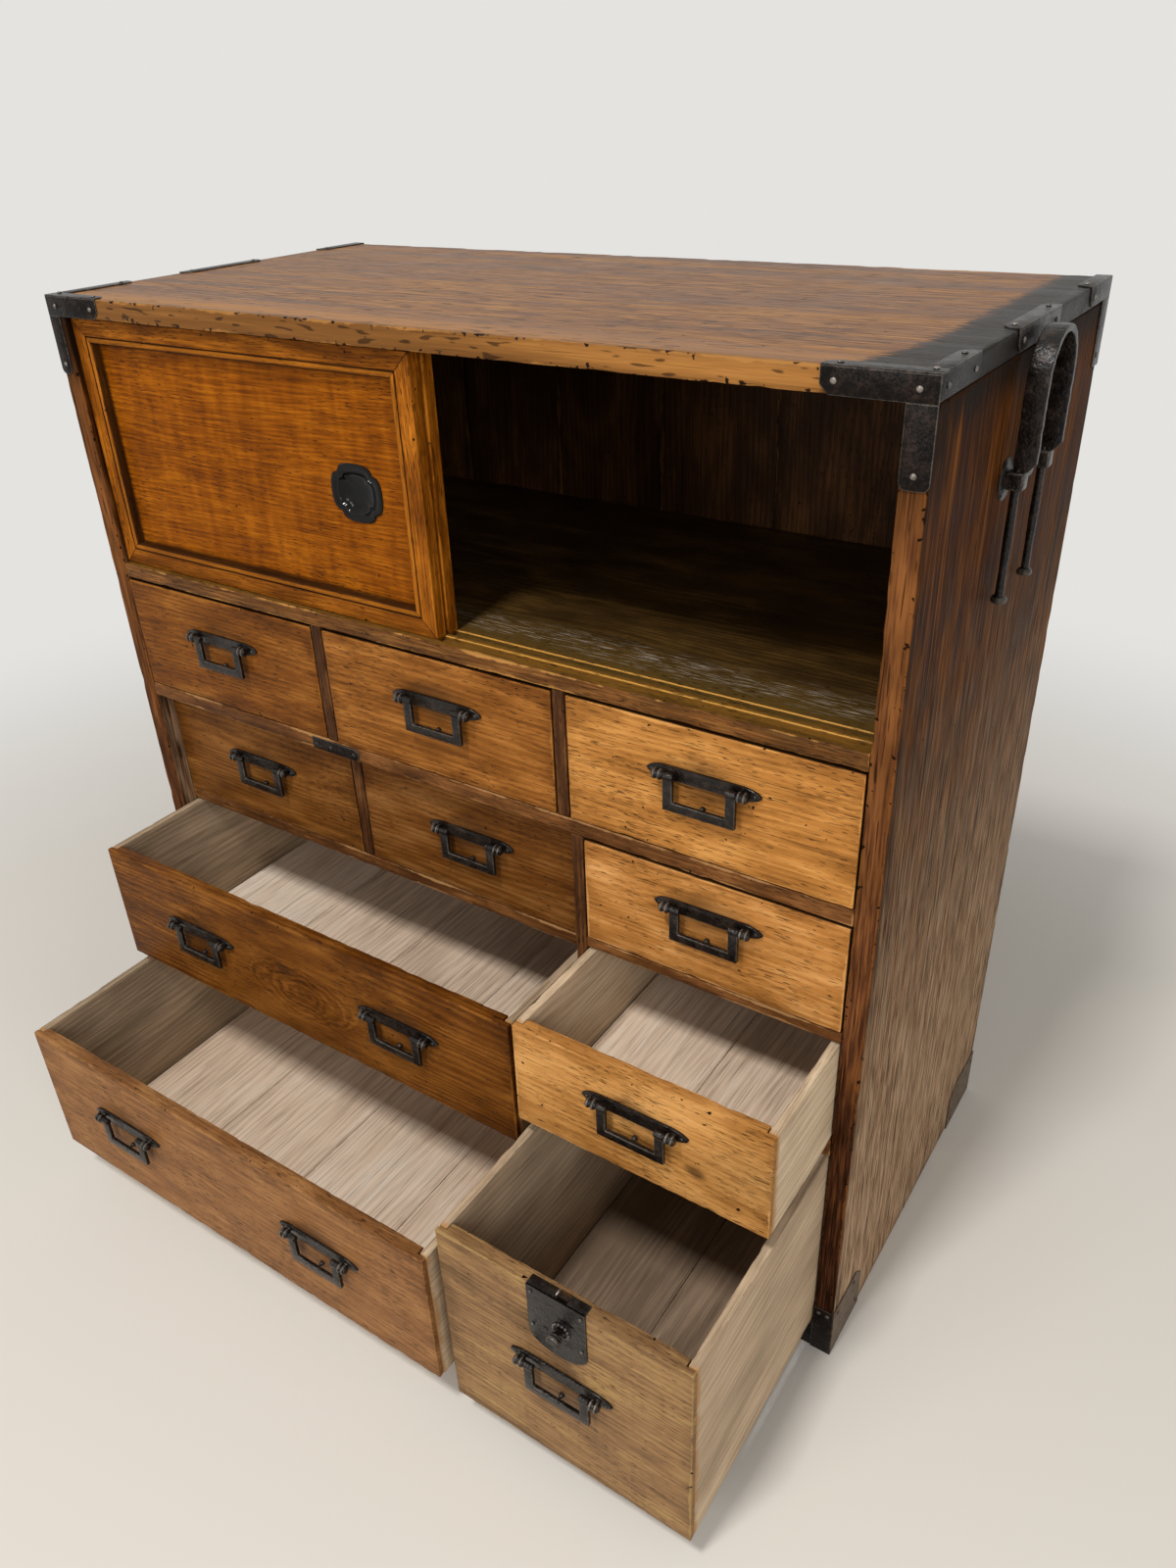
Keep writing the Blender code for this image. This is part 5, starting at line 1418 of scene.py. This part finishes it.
def carry_eye(side_name, side, end):
    """A forged collar that a rod slides in, on a rounded rose against the wall."""
    node = "carry_eye_%s_%s" % (side_name, end)
    low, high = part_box(node)
    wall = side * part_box("right_side")[1].x
    middle = Vector((wall + side * CARRY_STANDOFF, (low.y + high.y) / 2, (low.z + high.z) / 2))
    half = Vector((EYE_SIDE / 2, EYE_SIDE / 2, CARRY_EYE_HEIGHT / 2))
    collar = block("collar", middle - half, middle + half)
    round_edges(EYE_EDGE, 3)
    drill(collar, middle, FACING_UP, EYE_BORE, EYE_SIDE, EYE_SIDE)
    note_rubbed_and_glint(collar, tilted)
    smooth(collar)
    rose = draw_up("rose", ring_of(28), ROSE_STATIONS)
    placed(rose, (wall, middle.y, middle.z), FACING_SIDE[side])
    eye = join(node + "_forged", [collar, rose])
    finish(eye, FORGED_IRON, CARCASS, "forged_iron", node)


# Lock of the deep drawer

def lock_frame():
    """The middle of the lock's fold along the top of the deep drawer's front, and the button's place."""
    low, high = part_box("lock_plate")
    button_low, button_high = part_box("lock_button")
    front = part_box("drawer_deep")[0].y
    corner = Vector(((low.x + high.x) / 2, front, high.z))
    button = Vector(((button_low.x + button_high.x) / 2, front, (button_low.z + button_high.z) / 2))
    return corner, button


def bolt_slot(bottom, top):
    """A cutter for the slot that the bolt slides in."""
    low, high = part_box("lock_bolt")
    return block("bolt_slot", (low.x - BOLT_PLAY, low.y - BOLT_PLAY, bottom),
                 (high.x + BOLT_PLAY, high.y + BOLT_PLAY, top))


def lock_cuts(front):
    """Cuts the lock's places into the drawer's front: the fold's seat, the bolt's slot, the shank's hole and
    a pocket behind the keyhole."""
    corner, button = lock_frame()
    plate_low, plate_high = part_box("lock_plate")
    bolt_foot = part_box("lock_bolt")[0].z
    floor = corner.z - LOCK_SHEET - LOCK_SEAT_GAP
    seat = block("fold_seat", (plate_low.x - LOCK_SEAT_GAP, corner.y - SEAT_CUT, floor),
                 (plate_high.x + LOCK_SEAT_GAP, plate_high.y + LOCK_SEAT_GAP, corner.z + SEAT_CUT))
    carve(front, seat)
    carve(front, bolt_slot(bolt_foot - BOLT_PLAY, corner.z + SEAT_CUT))
    drill(front, button, FACING_FRONT, BUTTON_HOLE, SHANK_HOLE_DEPTH, SHANK_HOLE_FRONT)
    key = button + Vector((0, 0, KEYHOLE_ABOVE))
    carve(front, block("key_pocket", key - Vector((KEYHOLE_RADIUS, KEY_POCKET, KEYHOLE_RADIUS)),
                       key + Vector((KEY_SLIT[0], KEY_POCKET, KEYHOLE_RADIUS))))


def lock_plate():
    """The folded plate with its keyhole, nails, rosettes and the beaded collar round the button."""
    low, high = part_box("lock_plate")
    corner, button = lock_frame()
    half = (high.x - low.x) / 2
    drop = high.z - low.z
    sweep = drop - LOCK_SIDES
    outline = [(half, 0.0), (-half, 0.0)]
    for number in range(LOCK_SIDE_STEPS + 1):
        angle = math.pi * number / LOCK_SIDE_STEPS
        outline.append((-half * math.cos(angle), -LOCK_SIDES - sweep * math.sin(angle) ** LOCK_FULLNESS))
    gap = corner.y - low.y - LOCK_SHEET
    plate = draw_up("lock_face", outline, [(1.0, gap), (1.0, gap + LOCK_SHEET - IRON_EDGE),
                                           (0.988, gap + LOCK_SHEET)])
    placed(plate, corner, FACING_FRONT)
    fold = block("lock_fold", (low.x, low.y + SUNK, high.z - LOCK_SHEET), high)
    round_edges(IRON_EDGE, 2)
    carve(fold, bolt_slot(high.z - HOLE_CUT, high.z + HOLE_CUT))
    key = button + Vector((0, 0, KEYHOLE_ABOVE))
    for radius, place in ((BUTTON_HOLE, button), (KEYHOLE_RADIUS, key)):
        drill(plate, place, FACING_FRONT, radius, HOLE_CUT, HOLE_CUT)
    slit_length, slit_height = KEY_SLIT
    carve(plate, block("key_slit", key + Vector((0, -HOLE_CUT, -slit_height / 2)),
                       key + Vector((slit_length, HOLE_CUT, slit_height / 2))))
    parts = [plate, fold]
    for part in parts:
        note_rubbed_and_glint(part, tilted)
        smooth(part)
    face = Vector((corner.x, low.y, corner.z))
    for x in (-half + NAIL_RADIUS * 2, half - NAIL_RADIUS * 2):
        for below in LOCK_NAIL_INSETS:
            nail = domed_nail(NAIL_RADIUS * 0.8, NAIL_HEIGHT, 0.4)
            parts.append(placed(nail, face + Vector((x, 0, -below)), FACING_FRONT))
    for x, z in ROSETTE_PLACES:
        parts.append(placed(rosette(), face + Vector((x, 0, z)), FACING_FRONT))
    parts.append(placed(beaded_collar(), Vector((button.x, low.y, button.z)), FACING_FRONT))
    made = join("lock_plate_folded", parts)
    finish(made, LOCK_IRON, "deep_drawer", "forged_iron", "lock_plate")


def rosette():
    """A small flower of domes, lying in XY."""
    petals = [domed_nail(ROSETTE_RADIUS * 0.6, ROSETTE_BOSS_HEIGHT)]
    for x, y in ring_of(ROSETTE_PETALS, ROSETTE_RADIUS):
        petals.append(placed(domed_nail(ROSETTE_RADIUS * 0.52, ROSETTE_PETAL_HEIGHT), (x, y, 0)))
    return join("rosette", petals)


def beaded_collar():
    """A thin washer with a ring of beads, lying in XY."""
    outer = COLLAR_RADIUS + 1.3 * BEAD_RADIUS
    washer = draw_up("washer", ring_of(32), [(outer, -0.0001), (outer, 0.0003), (COLLAR_HOLE * 0.9, 0.0005)])
    drill(washer, (0, 0, 0), FACING_UP, COLLAR_HOLE, HOLE_CUT, HOLE_CUT, 32)
    smooth(washer)
    parts = [washer]
    for x, y in ring_of(COLLAR_BEADS, COLLAR_RADIUS):
        parts.append(placed(domed_nail(BEAD_RADIUS, BEAD_HEIGHT, 0.35), (x, y, SUNK)))
    return join("collar", parts)


def lock_button():
    """A turned button with a ringed neck and a hollowed end, on a shank with a slanted end."""
    corner, button = lock_frame()
    plate_face = corner.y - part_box("lock_plate")[0].y
    stations = [(SHANK_RADIUS * 0.96, -SHANK_REACH - SHANK_STUB)]
    for number in range(NECK_RINGS):
        height = NECK_START + number * NECK_PITCH + plate_face
        stations += [(SHANK_RADIUS * 0.86, height), (SHANK_RADIUS, height + NECK_PITCH / 2)]
    stations += [(radius, height + plate_face) for radius, height in KNOB_STATIONS]
    knob = draw_up("lock_button_turned", ring_of(32), stations)
    edit_mode()
    pick_all()
    bpy.ops.mesh.bisect(plane_co=(0, -SHANK_RADIUS, -SHANK_SLANT_END), plane_no=(0, 1, -1 / SHANK_SLANT),
                        use_fill=True, clear_outer=True)
    object_mode()
    # Painted glints and rubbed metal on the knob's ring crests.
    note_rubbed_and_glint(knob, lambda face: math.hypot(face.center.x, face.center.y) > RING_CREST, 0.45)
    placed(knob, button, FACING_FRONT)
    smooth(knob)
    finish(knob, FORGED_IRON, "lock_button", "black_iron", "lock_button")


# Iron trim

def iron_leaf(low, high, clipped=(), clip=IRON_CLIP, segments=1):
    """A thin iron plate between two corners, in any order, with some of its corners clipped or rounded."""
    low, high = [Vector([pick_one(a, b) for a, b in zip(low, high)]) for pick_one in (min, max)]
    made = block("iron_leaf", low, high)
    size = high - low
    thin = min(range(3), key=lambda axis: size[axis])
    flat = [axis for axis in range(3) if axis != thin]
    edit_mode()
    if clipped:
        def at_corner(edge):
            first, second = (point.co for point in edge.verts)
            if abs(first[thin] - second[thin]) < TOUCH:
                return False
            return any(all(abs(first[axis] - corner[axis]) < TOUCH for axis in flat) for corner in clipped)

        pick(made, "EDGE", at_corner)
        bevel(clip, segments)
    pick(made, "EDGE", lambda edge: edge.calc_face_angle(0) > 0.6)
    bevel(IRON_EDGE, 2)
    object_mode()
    note_rubbed_and_glint(made, tilted)
    smooth(made)
    return made


def nailed_iron(name, material, leaves, nails, bright=0.6):
    """Sheet iron folded over the case's edges, with the nails that hold it."""
    parts = [iron_leaf(*leaf) for leaf in leaves]
    for place, turn in nails:
        parts.append(placed(domed_nail(NAIL_RADIUS, NAIL_HEIGHT, bright), place, turn))
    made = join(name, parts)
    finish(made, material, CARCASS, "forged_iron")


def irons(side_name, side):
    """The irons of one side of the case: top corners, middle strap, back corner and feet.

    Each leaf has two corners, the corners that are clipped and, where it differs, how. Each nail stands
    5 to 20 mm in from the ends of its leaf.
    """
    top_low, top_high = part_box("top_board")
    wall = side * top_high.x
    front, back, top = top_low.y, top_high.y, top_high.z
    out = wall + side * IRON
    inside = wall - side * FLANGE
    outward = FACING_SIDE[side]

    leg = wall - side * FRONT_LEG_LENGTH[side]
    edge = wall - side * DOWN_LEG_WIDTH[side]
    hang = top - DOWN_LEG_REACH
    reach = front + SIDE_LEG_LENGTH[side]
    low_edge = top - SIDE_LEG
    leaves = [
        ((leg, front, top_low.z), (out, front - IRON, top), [(leg, front, top_low.z)]),
        ((leg, front - IRON, top), (out, front + FLANGE, top + IRON), [(leg, front + FLANGE, top)]),
        ((wall, front, low_edge), (out, reach, top), [(out, reach, low_edge)], IRON_CLIP, 4),
        ((inside, front + FLANGE, top), (out, reach, top + IRON), [(inside, reach, top)]),
        ((edge, front, hang), (out, front - IRON, top_low.z), [(edge, front, hang), (out, front, hang)],
         LEG_CLIP, 4)]
    face, lid = front - IRON, top + IRON
    middle_z = (top_low.z + top) / 2
    lid_nail = inside + side * 0.006
    side_nail = low_edge + 0.007
    nails = [((leg + side * 0.009, face, middle_z), FACING_FRONT),
             ((wall - side * 0.011, face, middle_z), FACING_FRONT),
             (((edge + wall) / 2, face, hang + 0.009), FACING_FRONT),
             ((leg + side * 0.010, front + 0.006, lid), FACING_UP),
             ((lid_nail, front + 0.010, lid), FACING_UP), ((lid_nail, reach - 0.012, lid), FACING_UP),
             ((out, front + 0.012, side_nail), outward), ((out, reach - 0.010, side_nail), outward)]
    nailed_iron("top_front_iron_" + side_name, TRIM_IRON, leaves, nails)

    leaves = [((wall, STRAP_START, low_edge), (out, STRAP_END, top),
               [(out, STRAP_START, low_edge), (out, STRAP_END, low_edge)]),
              ((inside, STRAP_START, top), (out, STRAP_END, lid),
               [(inside, STRAP_START, top), (inside, STRAP_END, top)])]
    nails = []
    for y in (STRAP_START + 0.010, STRAP_END - 0.010):
        nails += [((out, y, side_nail), outward), ((lid_nail, y, lid), FACING_UP)]
    nailed_iron("top_middle_strap_" + side_name, TRIM_IRON, leaves, nails)

    back_edge = back - DOWN_LEG_WIDTH[1]
    leaves = [((wall, BACK_IRON_START, low_edge), (out, back, top), [(out, BACK_IRON_START, low_edge)]),
              ((inside, BACK_IRON_START, top), (out, back + IRON, lid), [(inside, BACK_IRON_START, top)]),
              ((wall, back_edge, hang), (out, back, low_edge), [(out, back_edge, hang)], LEG_CLIP, 4),
              ((inside, back, hang), (out, back + IRON, top), [(inside, back, hang)])]
    nails = [((out, BACK_IRON_START + 0.010, side_nail), outward),
             ((out, back - 0.009, hang + 0.009), outward),
             ((lid_nail, BACK_IRON_START + 0.010, lid), FACING_UP)]
    nailed_iron("top_back_iron_" + side_name, TRIM_IRON, leaves, nails)

    board = wall - side * (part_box("right_side")[1].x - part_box("right_side")[0].x)
    sill_end = board - side * SILL_IRON_LENGTH
    foot_end = front + FOOT_LENGTH
    sill_top = BASE_TOP - SILL_IRON_INSET
    leaves = [((board, front, FOOT_OFF_FLOOR), (out, face, FOOT_HEIGHT)),
              ((sill_end, front, SILL_IRON_INSET), (board, face, sill_top), [(sill_end, front, sill_top)])]
    nails = [((board + side * 0.005, face, FOOT_HEIGHT - 0.006), FACING_FRONT),
             ((wall - side * 0.005, face, FOOT_HEIGHT - 0.006), FACING_FRONT),
             ((sill_end + side * 0.010, face, BASE_TOP / 2), FACING_FRONT)]
    nailed_iron("foot_front_iron_" + side_name, TRIM_IRON, leaves, nails, 0.3)
    back_start = back - BACK_FOOT_LENGTH
    leaves = []
    for start, end, tip in ((face, foot_end, foot_end), (back_start, back, back_start)):
        leaves.append(((wall, start, FOOT_OFF_FLOOR), (out, end, FOOT_HEIGHT), [(out, tip, FOOT_HEIGHT)],
                       FOOT_CLIP))
    nails = [((out, y, FOOT_HEIGHT - 0.008), outward)
             for y in (front + 0.010, foot_end - 0.020, back_start + 0.020, back - 0.010)]
    nails += [((out, y, 0.012), outward) for y in (foot_end - 0.008, back_start + 0.008)]
    nailed_iron("foot_side_iron_" + side_name, FOOT_IRON, leaves, nails)


def junction_strap():
    """The short strap over the joint of the row rail and the second row's upright."""
    rail_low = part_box("row_rail")[0]
    start, end = JUNCTION_STRAP
    front = rail_low.y
    bottom = rail_low.z + JUNCTION_INSETS[0]
    top = rail_low.z + ROW_RAIL_THICKNESS - JUNCTION_INSETS[1]
    leaves = [((start, front, bottom), (end, front - IRON, top), [(end, front, bottom), (end, front, top)],
               STRAP_CLIP)]
    middle = (bottom + top) / 2
    nails = [((x, front - IRON, middle), FACING_FRONT)
             for x in (start + 0.006, (start + end) / 2 - 0.006, end - 0.006)]
    nailed_iron("junction_strap", TRIM_IRON, leaves, nails, 0.1)


# Light, floor and camera

def photo_camera():
    """The photograph's eye: place, direction, tilt and field of view."""
    lens = bpy.data.cameras.new("photo_camera")
    lens.sensor_fit = "VERTICAL"
    lens.sensor_height = FILM_HEIGHT
    lens.lens = LENS
    lens.clip_start = 0.05
    camera = bpy.data.objects.new("photo_camera", lens)
    up = VIEW_RIGHT.cross(VIEW_FORWARD)
    axes = Matrix((VIEW_RIGHT, up, -VIEW_FORWARD)).transposed()
    camera.matrix_world = Matrix.Translation(EYE) @ axes.to_4x4()
    bpy.context.scene.collection.objects.link(camera)
    bpy.context.scene.camera = camera


def soft_lamp(name, place, size, power):
    """A square soft lamp aimed at the chest's middle."""
    lamp = bpy.data.lights.new(name, "AREA")
    lamp.shape = "SQUARE"
    lamp.size = size
    lamp.energy = power
    holder = bpy.data.objects.new(name, lamp)
    holder.location = place
    holder.rotation_euler = (LAMP_TARGET - Vector(place)).to_track_quat("-Z", "Y").to_euler()
    bpy.context.scene.collection.objects.link(holder)


def seen_directly(tree):
    """1 for what is seen, straight, mirrored or through glass, and 0 for light that falls on things."""
    path = add(tree, "LightPath", {}).node.outputs
    seen = calc(tree, "MAXIMUM", path["Is Camera Ray"], path["Is Glossy Ray"])
    return calc(tree, "MAXIMUM", seen, path["Is Transmission Ray"])


def studio():
    """A pale floor, soft lamps above, in front and at the right, and a pale room all round."""
    let_go()
    bpy.ops.mesh.primitive_plane_add(size=FLOOR_SIZE, location=(0, 0, 0))
    floor = bpy.context.object
    floor.name = "studio_floor"
    material, tree, shader = new_material("painted_floor_pale")
    fill(tree, shader, {"Base Color": linear("#d5cfc6"), "Roughness": 0.9, "Specular IOR Level": 0.2})
    far = soft_ramp(tree, length_of(tree, object_point(tree)), *FLOOR_FADE)
    far = calc(tree, "MULTIPLY", far, seen_directly(tree))
    glow = add(tree, "Emission", {"Color": linear(ROOM), "Strength": 1.0})
    blend = add(tree, "MixShader", {0: far, 1: shader.outputs[0], 2: glow})
    fill(tree, tree.nodes["Material Output"], {"Surface": blend})
    floor.data.materials.append(material)
    for lamp in LAMPS:
        soft_lamp(*lamp)
    world = bpy.data.worlds.new("pale_room")
    world.use_nodes = True
    bpy.context.scene.world = world
    tree = world.node_tree
    strength = ramp(tree, seen_directly(tree), 0.0, 1.0, low=ROOM_LIGHT)
    fill(tree, tree.nodes["Background"], {"Color": linear(ROOM), "Strength": strength})
    bpy.context.scene.view_settings.view_transform = "Standard"


photo_camera()
studio()
carcass()
for drawer_name in DRAWERS:
    drawer(drawer_name)
sliding_door("front_door", "front_door_leaf", "front_door_pull")
sliding_door("rear_door", "rear_door_leaf", "rear_door_pull")
handles()
carrying_handle("left", -1)
carrying_handle("right", 1)
for name, number in (("left", -1), ("right", 1)):
    for end_name in ("front", "back"):
        carry_eye(name, number, end_name)
    irons(name, number)
junction_strap()
lock_plate()
lock_button()
bolt = frame["nodes"]["lock_bolt"]
bolt.data.materials.clear()
bolt.data.materials.append(FORGED_IRON)
